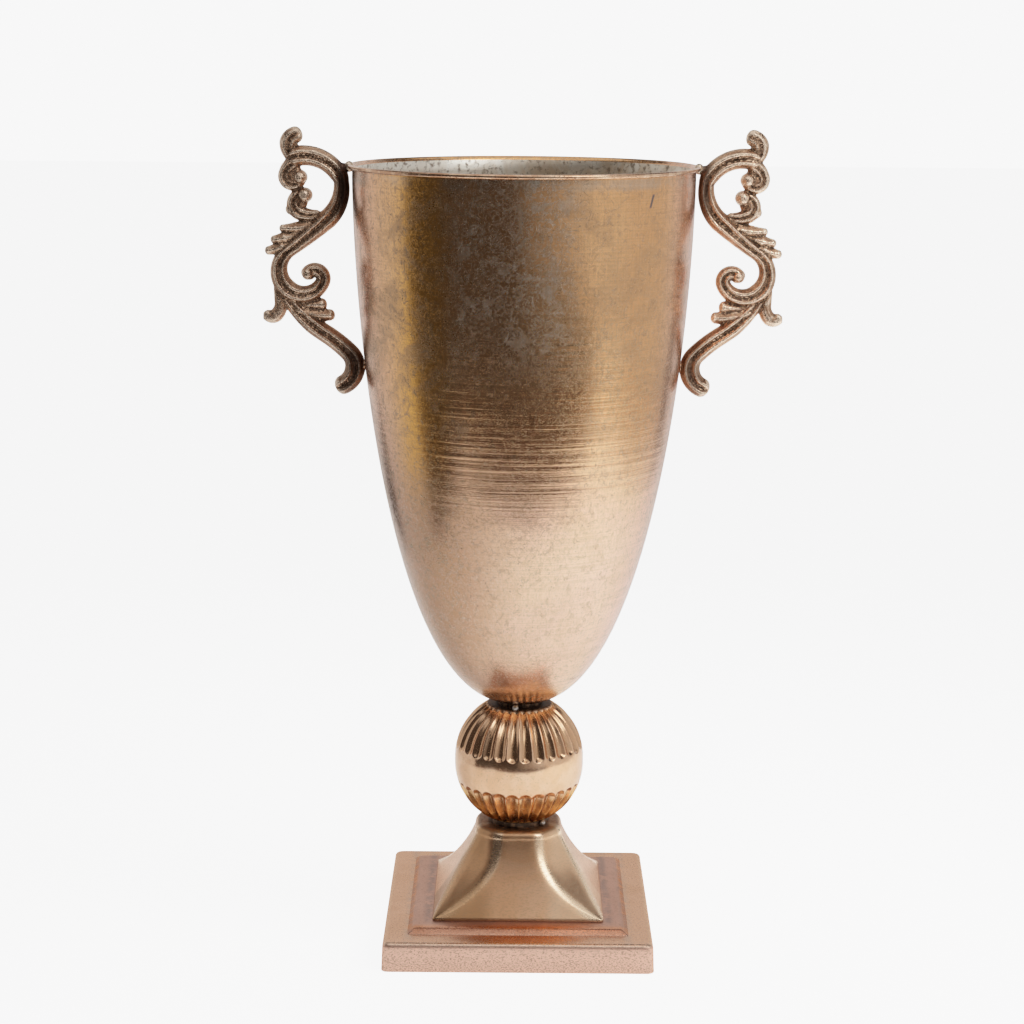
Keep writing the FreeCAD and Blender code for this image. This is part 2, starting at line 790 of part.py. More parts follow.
def limb_stations(limb):
    """Centre, heading and width at stations along one limb."""
    unit = size("handle_height")
    start = limb["start_shares"]
    place = in_section(rim_outer + start[0] * unit, size("mouth_height") + start[1] * unit)
    heading = math.radians(limb["heading_angle"])
    width = limb["width_share"] * unit
    stations = [(place, heading, width)]
    for radius_share, turn, end_share in limb["arc_shares"]:
        radius = radius_share * unit
        steps = max(1, int(math.ceil(abs(turn) / SECTION_ANGLE)))
        total = math.radians(turn)
        side = in_section(-math.sin(heading), math.cos(heading))
        centre = place + side * radius
        end_width = end_share * unit
        for step in range(1, steps + 1):
            angle = heading + total * step / steps
            spot = centre + in_section(math.sin(angle), -math.cos(angle)) * radius
            stations.append((spot, angle, width + (end_width - width) * step / steps))
        place = stations[-1][0]
        heading = heading + total
        width = end_width
    for ahead_share, width_share in ROUND_END_SHARES:
        along = in_section(math.cos(heading), math.sin(heading))
        stations.append((place + along * (width * ahead_share), heading, width * width_share))
    return stations


def limb_section(station):
    """Eight corners across a limb: two ridges and a sunk channel on each face."""
    centre, heading, width = station
    side = in_section(-math.sin(heading), math.cos(heading))
    depth = width * size("handle_depth_share") / 2
    ridge = width * size("handle_ridge_share")
    channel = depth * size("handle_channel_share")
    outline = [
        (width / 2, 0), (ridge, depth), (0, channel), (-ridge, depth),
        (-width / 2, 0), (-ridge, -depth), (0, -channel), (ridge, -depth),
    ]
    return [centre + side * across + Vector(0, deep, 0) for across, deep in outline]


def limb_solid(limb):
    """The solid of one limb."""
    return facet_loft([limb_section(station) for station in limb_stations(limb)])


def wall_radius(height):
    """The cup's outside radius at a height."""
    return curve_radius(size("mouth_height") - height, size("cup_radius"), size("cup_curve_height"))


limb_solids = {name: limb_solid(limb) for name, limb in LIMBS.items()}
stem_stations = limb_stations(LIMBS["lower_stem"])
knee = min(stem_stations, key=lambda station: station[0].x)[0]
arm_stations = limb_stations(LIMBS["main_scroll"])
crown = min(arm_stations, key=lambda station: abs(station[0].z - size("mouth_height")))[0]

upper_tip = Vector(rim_outer - size("bead_radius"), 0, crown.z)
lower_tip = Vector(wall_radius(knee.z) - size("cup_wall"), 0, knee.z)


def faceted_turn(start, along, rings, facets):
    """A solid of flat sides round an axis, rings of (distance, radius) from start."""
    across = Vector(along.z, along.x, along.y)
    up = along.cross(across)
    loops = []
    for distance, radius in rings:
        loop = []
        for facet in range(facets):
            angle = 2 * math.pi * (facet + 0.5) / facets
            arm = across * math.cos(angle) + up * math.sin(angle)
            loop.append(start + along * distance + arm * radius)
        loops.append(loop)
    return facet_loft(loops)


LUG_FACETS = 8
OUTWARD = Vector(1, 0, 0)
upper_lug = faceted_turn(
    upper_tip, OUTWARD, [(0, size("lug_tip_radius")), (crown.x - upper_tip.x, size("lug_radius"))], LUG_FACETS)
lower_lug = faceted_turn(
    lower_tip, OUTWARD, [(0, size("lug_tip_radius")), (knee.x - lower_tip.x, size("lug_radius"))], LUG_FACETS)


def scroll_eye(limb, radius_share):
    """The round button at the end of a scroll, across the handle."""
    radius = radius_share * size("handle_height")
    end = limb_stations(limb)[-1 - len(ROUND_END_SHARES)][0]
    rings = [(deep * radius, across * radius) for deep, across in EYE_RING_SHARES]
    return faceted_turn(end, Vector(0, 1, 0), rings, EYE_FACETS)


eyes = [scroll_eye(LIMBS[name], share) for name, share in EYE_RADIUS_SHARES.items()]
limb_list = list(limb_solids.values())
handle_shape = limb_list[0].multiFuse(limb_list[1:] + eyes + [upper_lug, lower_lug])
handle_shape = handle_shape.cut(cup_mass)
if handle_shape.ShapeType == "Compound" and len(handle_shape.Solids) == 1:
    handle_shape = handle_shape.Solids[0]

mirror_plane = (Vector(0, 0, 0), Vector(1, 0, 0))
handle_right = shaped("handle_right", handle_shape)
handle_left = shaped("handle_left", handle_shape.mirror(*mirror_plane))


# Rings of a bead of braze and of a drop of solder: distance and radius, as
# shares of the bead's own radius.
BRAZE_RING_SHARES = ((-1, 0.6), (-0.5, 1), (0.33, 0.92), (0.8, 0.6))
TACK_RING_SHARES = ((-1, 0.6), (-0.5, 1), (0.5, 1), (1, 0.6))


def braze_bead(tip):
    """The braze metal round a lug where it meets the cup."""
    reach = size("braze_radius")
    rings = [(along * reach, across * reach) for along, across in BRAZE_RING_SHARES]
    lump = faceted_turn(tip, OUTWARD, rings, LUG_FACETS)
    trimmed = lump.cut(cup_mass).cut(handle_shape)
    return max(trimmed.Solids, key=lambda solid: solid.Volume)


upper_bead = braze_bead(Vector(rim_outer, 0, crown.z))
lower_bead = braze_bead(Vector(wall_radius(knee.z), 0, knee.z))
upper_braze_right = shaped("upper_braze_right", upper_bead)
upper_braze_left = shaped("upper_braze_left", upper_bead.mirror(*mirror_plane))
lower_braze_right = shaped("lower_braze_right", lower_bead)
lower_braze_left = shaped("lower_braze_left", lower_bead.mirror(*mirror_plane))

# One drop of solder shows in the crevice above the ball and one below it.
UPPER_TACK_ANGLE = -98
LOWER_TACK_ANGLE = -42


def solder_tack(turn, across, height, neighbours):
    """A drop of solder in the crevice between two stacked parts."""
    angle = math.radians(turn)
    foot = Vector(across * math.cos(angle), across * math.sin(angle), height)
    reach = size("tack_radius")
    rings = [(along * reach, across * reach) for along, across in TACK_RING_SHARES]
    drop = faceted_turn(foot, Vector(0, 0, 1), rings, LUG_FACETS).cut(neighbours)
    return max(drop.Solids, key=lambda solid: solid.Volume)


upper_across = size("ball_flat_radius") - size("tack_radius") / 2
upper_height = size("ball_top") + size("tack_radius") / 2
upper_neighbours = [cup_mass, knop_upper.Shape, boss.Shape]
upper_tack = solder_tack(UPPER_TACK_ANGLE, upper_across, upper_height, upper_neighbours)
lower_across = size("collar_radius") + size("tack_radius") / 2
lower_height = (size("ball_bottom") + size("pedestal_top")) / 2
lower_neighbours = [knop_lower.Shape, collar.Shape, pedestal.Shape]
lower_tack = solder_tack(LOWER_TACK_ANGLE, lower_across, lower_height, lower_neighbours)
neck_tack_upper = shaped("neck_tack_upper", upper_tack)
neck_tack_lower = shaped("neck_tack_lower", lower_tack)
document.recompute()

NODES = [
    cup, boss, rod, knop_upper, knop_lower, collar, pedestal, plinth, clamp, washer, spring, nut,
    handle_left, handle_right, upper_braze_left, upper_braze_right, lower_braze_left, lower_braze_right,
    neck_tack_upper, neck_tack_lower,
]
for thing in document.Objects:
    if "Invalid" in thing.State or "Error" in thing.State:
        raise RuntimeError("failed: " + thing.Name)
for node in NODES:
    if node.Shape.isNull() or not node.Shape.isValid():
        raise RuntimeError("bad shape: " + node.Name)
    print(node.Name, len(node.Shape.Solids), round(node.Shape.Volume, 1))
    node.Shape.exportStep("parts/%s.step" % node.Name)
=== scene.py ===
# %% [markdown]
# # A two-handled brass urn, dressed for the studio
# The urn is a tall spun cup with cast scroll handles. It stands on a fluted
# ball, a flared pedestal and a square plinth. The metal is brass with a coppery
# antique finish: dark in the hollows, rubbed bright on the ridges.
#
# The measured solids come first, as a fixed frame. Each new surface takes its
# place from them, so nothing has to be fitted by eye.

# %% The measured frame
import math

import bmesh
import bpy
import numpy as np
from mathutils import Matrix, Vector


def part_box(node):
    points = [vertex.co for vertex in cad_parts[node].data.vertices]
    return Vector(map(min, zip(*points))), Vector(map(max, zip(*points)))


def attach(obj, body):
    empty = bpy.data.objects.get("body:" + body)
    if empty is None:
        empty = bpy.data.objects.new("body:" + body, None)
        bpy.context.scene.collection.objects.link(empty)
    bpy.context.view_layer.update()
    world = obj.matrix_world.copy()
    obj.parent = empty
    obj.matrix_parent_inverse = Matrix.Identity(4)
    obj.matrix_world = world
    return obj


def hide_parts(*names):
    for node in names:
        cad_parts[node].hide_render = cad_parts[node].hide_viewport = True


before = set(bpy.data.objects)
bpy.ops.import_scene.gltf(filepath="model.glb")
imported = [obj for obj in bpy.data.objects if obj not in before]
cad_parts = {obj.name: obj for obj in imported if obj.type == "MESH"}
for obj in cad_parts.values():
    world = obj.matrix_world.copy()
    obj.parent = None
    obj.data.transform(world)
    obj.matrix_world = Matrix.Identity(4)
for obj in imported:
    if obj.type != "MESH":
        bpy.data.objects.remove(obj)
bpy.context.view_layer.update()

MM = 0.001

# %% [markdown]
# ## Camera
# A table piece is mostly pictured from a little above with a long lens, so that
# its rim shows as a narrow ellipse. Lens, distance and tilt could be corrected by
# eye. Here they come from two things whose real form is known: the rim is a
# circle and the plinth is a square.

# %% Camera
CAMERA_PLACE = (-0.00463, -1.38441, 0.55306)
CAMERA_TURN, CAMERA_DOWN, CAMERA_ROLL = 0.0405, 11.6575, 0.4495
SENSOR_WIDTH, LENS = 36, 80.69


def placed(name, data):
    """A new object of the scene."""
    thing = bpy.data.objects.new(name, data)
    bpy.context.scene.collection.objects.link(thing)
    return thing


camera_data = bpy.data.cameras.new("camera")
camera_data.sensor_width = SENSOR_WIDTH
camera_data.lens = LENS
camera = placed("camera", camera_data)
bpy.context.scene.camera = camera
camera.matrix_world = (
    Matrix.Translation(CAMERA_PLACE)
    @ Matrix.Rotation(math.radians(CAMERA_TURN), 4, "Z")
    @ Matrix.Rotation(math.radians(90 - CAMERA_DOWN), 4, "X")
    @ Matrix.Rotation(math.radians(CAMERA_ROLL), 4, "Z")
)
print("lens", LENS, "mm, distance", round(math.hypot(*CAMERA_PLACE[:2]), 3), "m")

# %% [markdown]
# ## A surface over a grid
# Every new piece is a function of two parameters. Rows run along one of them and
# columns round the other, so the whole surface is one array of points, and the
# faces follow from the numbering of the grid alone. Modelling tools could draw
# the same shapes, but a formula keeps the true sizes and is easy to change.

# %% A surface over a grid


def skin(name, points, loop=False):
    """A closed, smooth mesh over a grid of points (rows, columns, 3) in metres.
    Columns always close on themselves. Rows either close too, or end in flat
    caps. Doubles are merged, then all faces are turned outwards."""
    rows, columns = points.shape[:2]
    index = np.arange(rows * columns).reshape(rows, columns)
    lower = index if loop else index[:-1]
    upper = np.roll(index, -1, axis=0) if loop else index[1:]
    quads = np.stack([lower, np.roll(lower, -1, 1), np.roll(upper, -1, 1), upper], axis=-1)
    faces = quads.reshape(-1, 4).tolist()
    if not loop:
        faces += [index[0, ::-1].tolist(), index[-1].tolist()]
    mesh = bpy.data.meshes.new(name)
    mesh.from_pydata(points.reshape(-1, 3).tolist(), [], faces)
    work = bmesh.new()
    work.from_mesh(mesh)
    bmesh.ops.remove_doubles(work, verts=work.verts, dist=1e-7)
    bmesh.ops.recalc_face_normals(work, faces=work.faces)
    work.to_mesh(mesh)
    work.free()
    mesh.polygons.foreach_set("use_smooth", np.ones(len(mesh.polygons), dtype=bool))
    return mesh


# %% A finished piece


def piece(name, mesh, slot, replaced, *finishes):
    """A finished piece: it rides on the urn and stands for a solid of the frame."""
    thing = placed(name, mesh)
    for finish in finishes:
        mesh.materials.append(finish.material)
    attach(thing, "root")
    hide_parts(replaced)
    print(name, "faces:", len(mesh.polygons))


def read(items, what):
    """Places or directions of a mesh's items as one array, a row for each."""
    flat = np.empty(len(items) * 3, dtype=np.float32)
    items.foreach_get(what, flat)
    return flat.reshape(-1, 3).astype(float)


def give(mesh, name, values):
    """A number for each vertex, which a finish can read by its name."""
    layer = mesh.attributes.new(name, "FLOAT", "POINT")
    layer.data.foreach_set("value", np.asarray(values, dtype=np.float32))


# %% [markdown]
# ## Numbers that vary over a surface
# A finish is a set of small sums: a mask times a depth, one minus the mask, and
# so on. Placing a Math node by hand for each of them is slow to read. A small
# class wraps a node's output, so that a sum written in Python adds the nodes.

# %% Shader sums


class Signal:
    """The output of a node. Python's operators on it add Math nodes."""

    def __init__(self, finish, socket):
        self.finish = finish
        self.socket = socket

    def math(self, operation, *values):
        """A Math node on one or two values."""
        return self.finish.add("ShaderNodeMath", {"operation": operation}, dict(enumerate(values)))

    def __add__(self, other):
        return self.math("ADD", self, other)

    def __sub__(self, other):
        return self.math("SUBTRACT", self, other)

    def __mul__(self, other):
        return self.math("MULTIPLY", self, other)

    def __pow__(self, other):
        return self.math("POWER", self, other)

    def __rsub__(self, other):
        return self.math("SUBTRACT", other, self)

    __radd__ = __add__
    __rmul__ = __mul__

    def size(self):
        """The number without its sign."""
        return self.math("ABSOLUTE", self)

    def ramp(self, low, high, start=0.0, end=1.0):
        """Goes smoothly from start to end as the number goes from low to high."""
        settings = {"interpolation_type": "SMOOTHSTEP"}
        return self.finish.add("ShaderNodeMapRange", settings, {0: self, 1: low, 2: high, 3: start, 4: end})

    def between(self, none, full, still_full, gone):
        """A band: it rises from 0 to 1 and falls back to 0 at the four numbers."""
        return self.ramp(none, full) * self.ramp(still_full, gone, 1.0, 0.0)

    def close(self, full, gone):
        """1 where the number is as near to 0 as full, and 0 as far off as gone."""
        return self.size().ramp(full, gone, 1.0, 0.0)


# %% [markdown]
# ## A finish
# Each finish is a metal with layers over it, as on the bench: the bare metal,
# its patina, what is rubbed off, and dirt last. One method adds any node, and
# the others are short names for the nodes that come back in every finish.

# %% A finish


class Finish:
    """One finish: its shader, and one method that adds any node."""

    def __init__(self, name, **fixed):
        self.material = bpy.data.materials.new(name)
        self.material.use_nodes = True
        self.tree = self.material.node_tree
        self.shader = self.tree.nodes["Principled BSDF"]
        self.shader.inputs["Metallic"].default_value = 1
        for socket, value in fixed.items():
            self.shader.inputs[socket.replace("_", " ")].default_value = value
        self.place = self.add("ShaderNodeTexCoord", {}, {}, "Object")

    def add(self, kind, settings, values, output=0):
        """A node of a type, its settings first, then the values or links of its sockets."""
        node = self.tree.nodes.new(kind)
        for name, setting in settings.items():
            setattr(node, name, setting)
        for socket, value in values.items():
            if isinstance(value, Signal):
                self.tree.links.new(value.socket, node.inputs[socket])
            else:
                node.inputs[socket].default_value = value
        return Signal(self, node.outputs[output])

    def noise(self, scale, detail=3.0, rough=0.55, twist=0.0, shift=(0, 0, 0)):
        """Cloudy noise, its scale one number or three, in waves per metre."""
        scale = scale if isinstance(scale, tuple) else (scale,) * 3
        place = self.add("ShaderNodeMapping", {}, {"Vector": self.place, "Scale": scale, "Location": shift})
        values = {"Vector": place, "Scale": 1.0, "Detail": detail, "Roughness": rough, "Distortion": twist}
        return self.add("ShaderNodeTexNoise", {}, values)

    def axis(self, number):
        """One coordinate of the object, in metres."""
        return self.add("ShaderNodeSeparateXYZ", {}, {0: self.place}, number)

    def worked(self, name):
        """A number that the mesh carries for each vertex."""
        return self.add("ShaderNodeAttribute", {"attribute_name": name}, {}, "Fac")

    def mix(self, share, first, second):
        """A blend of two colours."""
        first, second = [c if isinstance(c, Signal) else (*c, 1.0) for c in (first, second)]
        return self.add("ShaderNodeMix", {"data_type": "RGBA"}, {0: share, 6: first, 7: second}, 2)

    def coats(self, base, *layers):
        """Colours laid over a base one after another, each with its share."""
        for share, colour in layers:
            base = self.mix(share, base, colour)
        return base

    def drive(self, socket, signal):
        """A link to one of the shader's sockets."""
        self.tree.links.new(signal.socket, self.shader.inputs[socket])

    def wear(self, colour, roughness, *reliefs):
        """What each metal needs: a colour, a roughness, and Bump nodes in a row,
        each from a height between 0 and 1 and its depth in metres."""
        self.drive("Base Color", colour)
        self.drive("Roughness", roughness)
        normal = None
        for height, depth in reliefs:
            values = {"Height": height, "Distance": depth, "Strength": 1.0}
            if normal is not None:
                values["Normal"] = normal
            normal = self.add("ShaderNodeBump", {}, values)
        self.drive("Normal", normal)
        print(self.material.name, "nodes:", len(self.tree.nodes))


# %% [markdown]
# ## Tone
# A camera's film holds back bright light. The curve 1 - exp(-x) does the same, so
# that the highlights turn pale and the shades stay golden. Blender has ready
# looks of this kind, but they also grey the golds.

# %% Camera's tone curve
BRIGHTEST = 6.0
PAPER_GLOW = 2.66

view = bpy.context.scene.view_settings
view.view_transform = "Standard"
view.use_curve_mapping = True
view.curve_mapping.white_level = (BRIGHTEST,) * 3
tone = view.curve_mapping.curves[3]
for share in (0.01, 0.03, 0.06, 0.1, 0.16, 0.25, 0.4, 0.65):
    tone.points.new(share, 1 - math.exp(-share * BRIGHTEST))
tone.points[-1].location = (1, 1 - math.exp(-BRIGHTEST))
view.curve_mapping.update()
print("the pale paper is seen as", round(1 - math.exp(-PAPER_GLOW), 3))

# %% [markdown]
# ## Studio
# Polished metal has hardly a look of its own: it shows what stands round it. The
# urn stands on a pale table that ends in front of it, with the dark room beyond,
# so the cup is dark above and pale below. A large panel on the right, one on the
# left and a pale wall behind draw its long bright bands. In front a row of eight
# narrow strips, each brighter than the one before, makes the soft change from
# the dark middle of the cup to its bright right side. Three panels above give
# the small lights, and a lamp that metal doesn't mirror lights the table.
#
# One picture wrapped round the scene could do the same, but then nothing would
# reflect at its true place.

# %% Panels
LIGHTS_AIM = (0, 0, 0.3)
STRIPS, STRIP_TURN, STRIP_RISE, STRIP_DISTANCE = 8, 6.5, 9, 1.7
STRIP_WIDTH, STRIP_HEIGHT = 0.2, 1.3


def panel(name, azimuth, elevation, distance, width, height, glow, mirrored=True):
    """A soft box that faces the urn. Azimuth 0 is on the camera's side and 90 on
    the right. The glow is its radiance, and its power is pi times glow times area."""
    data = bpy.data.lights.new(name, "AREA")
    data.shape = "RECTANGLE"
    data.size, data.size_y = width, height
    data.energy = math.pi * glow * width * height
    light = placed(name, data)
    round_urn = Matrix.Rotation(math.radians(azimuth), 4, "Z")
    turned = round_urn @ Matrix.Rotation(math.radians(90 - elevation), 4, "X")
    light.matrix_world = Matrix.Translation(LIGHTS_AIM) @ turned @ Matrix.Translation((0, 0, distance))
    light.visible_camera = False
    light.visible_glossy = mirrored


# Azimuth and elevation in degrees, distance, width and height in metres, glow
panel("right_panel", 88, 4, 1.5, 2.4, 1.8, 0.9)
for strip in range(STRIPS):
    place = (1 + STRIP_TURN * strip, STRIP_RISE, STRIP_DISTANCE)
    strip_glow = 0.1 + 0.8 * ((strip + 1) / STRIPS) ** 1.4
    panel("front_panel_%d" % strip, *place, STRIP_WIDTH, STRIP_HEIGHT, strip_glow)
panel("left_panel", -108, 2, 1.4, 1.3, 1.9, 0.85)
panel("wall_panel", 180, 12, 1.4, 3.0, 1.6, 0.95)
panel("ceiling_panel", 0, 84, 1.1, 1.6, 1.3, 1.0)
panel("upper_panel", 12, 52, 1.3, 1.4, 0.7, 0.8)
panel("key_panel", 42, 40, 1.5, 0.6, 0.6, 4.0)
panel("table_lamp", 70, 35, 1.0, 0.5, 0.5, 20.0, mirrored=False)

# %% [markdown]
# ## Room and table
# The camera sees pale paper everywhere, while the metal sees a dark room. A
# Light Path node can tell the two apart. The floor is split in the same way: the
# camera sees one sheet, with the urn's soft shadow, and the metal mirrors
# another, the table, which ends close in front of the urn. One floor for both
# would mirror far too much white in the cup.

# %% Room
world = bpy.data.worlds.new("room")
bpy.context.scene.world = world
world.use_nodes = True
nodes, links = world.node_tree.nodes, world.node_tree.links
room = nodes["Background"]
room.inputs["Color"].default_value = (0.075, 0.066, 0.06, 1)
paper = nodes.new("ShaderNodeBackground")
paper.inputs["Color"].default_value = (1, 1, 1, 1)
paper.inputs["Strength"].default_value = PAPER_GLOW
rays = nodes.new("ShaderNodeLightPath")
choice = nodes.new("ShaderNodeMixShader")
links.new(rays.outputs["Is Camera Ray"], choice.inputs[0])
links.new(room.outputs[0], choice.inputs[1])
links.new(paper.outputs[0], choice.inputs[2])
links.new(choice.outputs[0], nodes["World Output"].inputs["Surface"])
print("room nodes:", len(nodes))

# %% Floor and table


def sheet(name, left, front, right, back, height, glow, pale, reach):
    """A flat pale sheet with a glow of its own. Its share of lamp light, pale,
    fades with the distance from the urn, so its far edge can't be seen."""
    corners = [(x, y, height) for x, y in ((left, front), (right, front), (right, back), (left, back))]
    mesh = bpy.data.meshes.new(name)
    mesh.from_pydata(corners, [], [(0, 1, 2, 3)])
    thing = placed(name, mesh)
    paint = Finish(name, Metallic=0.0, Roughness=1.0, Specular_IOR_Level=0.0, Emission_Strength=glow)
    distance = paint.add("ShaderNodeVectorMath", {"operation": "LENGTH"}, {0: paint.place}, 1)
    fibres = paint.noise(30.0).ramp(0.3, 0.7) * 0.01
    paint.drive("Base Color", paint.mix(distance.ramp(0.2, reach, pale, 0.0), (0, 0, 0), (1, 1, 1)))
    paint.drive("Emission Color", paint.mix(fibres, (1, 1, 1), (0.9, 0.9, 0.9)))
    mesh.materials.append(paint.material)
    return thing


floor = sheet("floor", -9, -9, 9, 9, height=0.0, glow=2.45, pale=0.2, reach=1.2)
floor.visible_glossy = floor.visible_diffuse = floor.visible_shadow = False
table = sheet("table", -0.48, -0.5, 0.8, 1.4, height=-0.0005, glow=0.45, pale=0.8, reach=5.0)
table.visible_camera = table.visible_shadow = False
print("table in metres:", [round(side, 2) for side in table.dimensions[:2]])

# %% [markdown]
# ## Cup metal: its marks
# The cup's sheet brass is coppered, darkened and rubbed. From a step away it has
# cloudy gold and rose patches, closer up thousands of short crossing scratches
# and fine dark pits. A scratch map could be painted, but noise of several sizes
# gives the same mixture at every scale and has no seam.
#
# A hair-thin line comes from the places where a noise passes through its middle
# value. A brushed line is noise that is stretched some seventy times one way.

# %% Cup metal: its marks
outside = Finish("cup_outside")
cloud = outside.noise(9.0, 4, 0.6, 0.6).ramp(0.35, 0.68)
patina = outside.noise(34.0, 9, 0.72, 0.8).ramp(0.46, 0.62)
crackle = outside.noise(210.0, 6, 0.72, 1.5, (2, 5, 1)).ramp(0.5, 0.64)
hairs = (outside.noise(130.0, 5, 0.62, 3.0) - 0.5).close(0.0, 0.02)
pits = outside.noise(760.0, 3, 0.6, 0.0, (3, 1, 2)).ramp(0.6, 0.72)
upright = outside.noise((1100.0, 1100.0, 16.0), 2, 0.5)
level = outside.noise((16.0, 16.0, 1300.0), 2, 0.5)
brushed = (upright + level - 0.85).ramp(0.0, 0.3)
rings = outside.noise((5.0, 5.0, 280.0), 4, 0.6)
dents = outside.noise(28.0, 2, 0.5)
print("nodes for the marks:", len(outside.tree.nodes))

# %% [markdown]
# ## Cup metal: where the marks lie
# Wear isn't even. The lathe has left rings at the middle height, the polish is
# golden in two upright bands, and the front is scuffed grey between them. Low on
# the left the metal is darker: that is painted shade, where the cup mirrors the
# urn's shadow on the table. Each place is a product of ramps over the object's
# coordinates. A mask painted by hand could do it too, but a place in metres stays
# right when the mesh gets more points.

# %% Cup metal: where the marks lie
# Where each band begins, is full, is still full and ends, in metres
RINGS_UP = (0.268, 0.30, 0.36, 0.41)
RIM_DIRT_UP = (0.4685, 0.4715, 0.4755, 0.4765)
LEFT_BAND = (-0.078, -0.062, -0.052, -0.036)
RIGHT_BAND = (0.050, 0.064, 0.077, 0.087)
SCUFFS_ACROSS = (-0.058, -0.03, 0.012, 0.04)
NICK_ACROSS, NICK_UP, NICK_SLOPE = 0.0726, 0.4631, 0.25

across_cup, through_cup, height = [outside.axis(number) for number in range(3)]
front = through_cup.ramp(0.0, -0.02)
low_down = height.ramp(0.36, 0.24)
# Painted shade: low on the left front the cup mirrors the urn's shadow on the table
painted_shade_low_left = low_down * across_cup.ramp(0.01, -0.042) * front
per_radius = (across_cup * across_cup + through_cup * through_cup) ** -0.5
sideways = (across_cup.size() * per_radius).ramp(0.72, 0.98)
by_ball = height.ramp(0.170, 0.158)
ringed = height.between(*RINGS_UP)
under_rim = height.between(*RIM_DIRT_UP) * outside.noise(40.0, 4, 0.6).ramp(0.4, 0.6)
left_band = across_cup.between(*LEFT_BAND) * front * height.ramp(0.26, 0.32)
right_band = across_cup.between(*RIGHT_BAND) * front * height.ramp(0.28, 0.34)
scuffed = across_cup.between(*SCUFFS_ACROSS) * front * height.ramp(0.34, 0.40)
bare = scuffed * outside.noise(90.0, 8, 0.72, 0.8).ramp(0.47, 0.64)
weathered = (1 - low_down) * 0.35 + across_cup.ramp(-0.01, -0.07) * 0.45 + 0.2
along_nick = height - NICK_UP
beside_nick = across_cup - NICK_ACROSS - along_nick * NICK_SLOPE
nick = beside_nick.close(0.0003, 0.0009) * along_nick.close(0.003, 0.0045) * front
print("nodes for the places:", len(outside.tree.nodes))

# %% [markdown]
# ## Cup metal: its colour, gloss and relief
# Layers go on in the order in which they come on the real cup: the plain metal,
# the tints of the polish, the patina, the scuffs, and the dirt last. A single
# colour ramp can't do this, because each layer keeps to its own place.

# %% Cup metal: its colour, gloss and relief
upper_metal = outside.mix(cloud, (0.86, 0.43, 0.19), (0.88, 0.48, 0.23))
lower_metal = outside.mix(cloud, (0.86, 0.54, 0.41), (0.88, 0.57, 0.38))
tinted = outside.coats(
    outside.mix(low_down, upper_metal, lower_metal),
    (sideways * 0.6, (0.84, 0.46, 0.37)),
    (left_band, (0.92, 0.44, 0.10)),
    (right_band * 0.5, (0.72, 0.34, 0.15)),
    (by_ball * 0.6, (0.92, 0.50, 0.18)),
)
worn_cup = outside.coats(
    tinted,
    # painted shade low on the left
    (painted_shade_low_left * 0.9, (0.42, 0.22, 0.13)),
    (patina * weathered * 0.75, (0.46, 0.27, 0.15)),
    (crackle * (weathered + low_down * 0.3 + painted_shade_low_left * 0.4 + 0.1) * 0.7, (0.34, 0.23, 0.15)),
    (bare * 0.6 + under_rim * 0.45, (0.50, 0.43, 0.35)),
    (hairs * (scuffed * 0.8 + painted_shade_low_left * 0.3 + 0.15), (0.78, 0.70, 0.62)),
    (brushed * 0.25, (0.42, 0.24, 0.12)),
    (pits * (0.4 + low_down * 0.25 + bare * 0.4), (0.18, 0.11, 0.07)),
    (nick * 0.9, (0.12, 0.11, 0.12)),
)
dulled_by = patina * weathered * 0.1 + crackle * 0.08 + hairs * scuffed * 0.2 + bare * 0.14 + pits * 0.1
outside.wear(
    worn_cup,
    0.18 + dulled_by,
    (rings, ringed * 0.0003),
    (dents, 0.00025),
    (patina, 0.00001),
    (crackle, 0.000012),
    (hairs, 0.000012),
    (brushed, 0.000006),
    (pits, 0.00001),
)

# %% [markdown]
# ## Inside and rim
# The inside was never coppered: it is silvery on the left, browner on the right,
# and dusty near the rim. The rim's bead is rubbed by hands and cloths, and its
# far side keeps its dark patina. Masks by place could do it in one finish, but
# the two sides of a thin sheet lie too close together for that. So each has a
# finish of its own on the one cup mesh.

# %% Inside of the cup
inside = Finish("cup_inside")
tarnish = inside.noise(45.0, 7, 0.7, 1.0).ramp(0.4, 0.62)
grime = inside.noise(300.0, 4, 0.65).ramp(0.5, 0.66)
near_rim = inside.axis(2).ramp(0.45, 0.476)
to_right = inside.axis(0).ramp(-0.05, 0.04)
stained_lining = inside.coats(
    (0.93, 0.89, 0.80),
    (tarnish * (0.25 + to_right * 0.6), (0.56, 0.40, 0.26)),
    (to_right * 0.5, (0.66, 0.52, 0.38)),
    (grime * (0.3 + near_rim * 0.5), (0.22, 0.15, 0.10)),
)
inside.wear(stained_lining, 0.42 + grime * 0.2, (tarnish, 0.00005), (grime, 0.00003))

# %% Rim metal
rim_metal = Finish("rim_metal")
rubbed = rim_metal.noise(120.0, 4, 0.6).ramp(0.4, 0.65)
specks = rim_metal.noise(900.0, 2, 0.5).ramp(0.6, 0.72)
far_side = rim_metal.axis(1).ramp(0.0, 0.05) * (0.4 + rubbed * 0.5)
worn_rim = rim_metal.coats(
    (0.60, 0.33, 0.20),
    (rubbed, (0.84, 0.56, 0.38)),
    (specks * 0.6 + far_side, (0.2, 0.12, 0.08)),
)
rim_metal.wear(worn_rim, 0.24 + specks * 0.2, (rubbed, 0.00003), (specks, 0.00002))

# %% [markdown]
# ## Cup
# A cup like this is spun: a disc of brass turns on a lathe and is pressed over a
# form, and its edge is rolled over into a bead. Its outline is one swelling
# curve. A superellipse gives it with two powers, and the surface is that outline
# carried round the axis. The inside is a second outline, one wall thickness in.
# A Screw modifier on a drawn curve would do, but its sizes would be by eye.

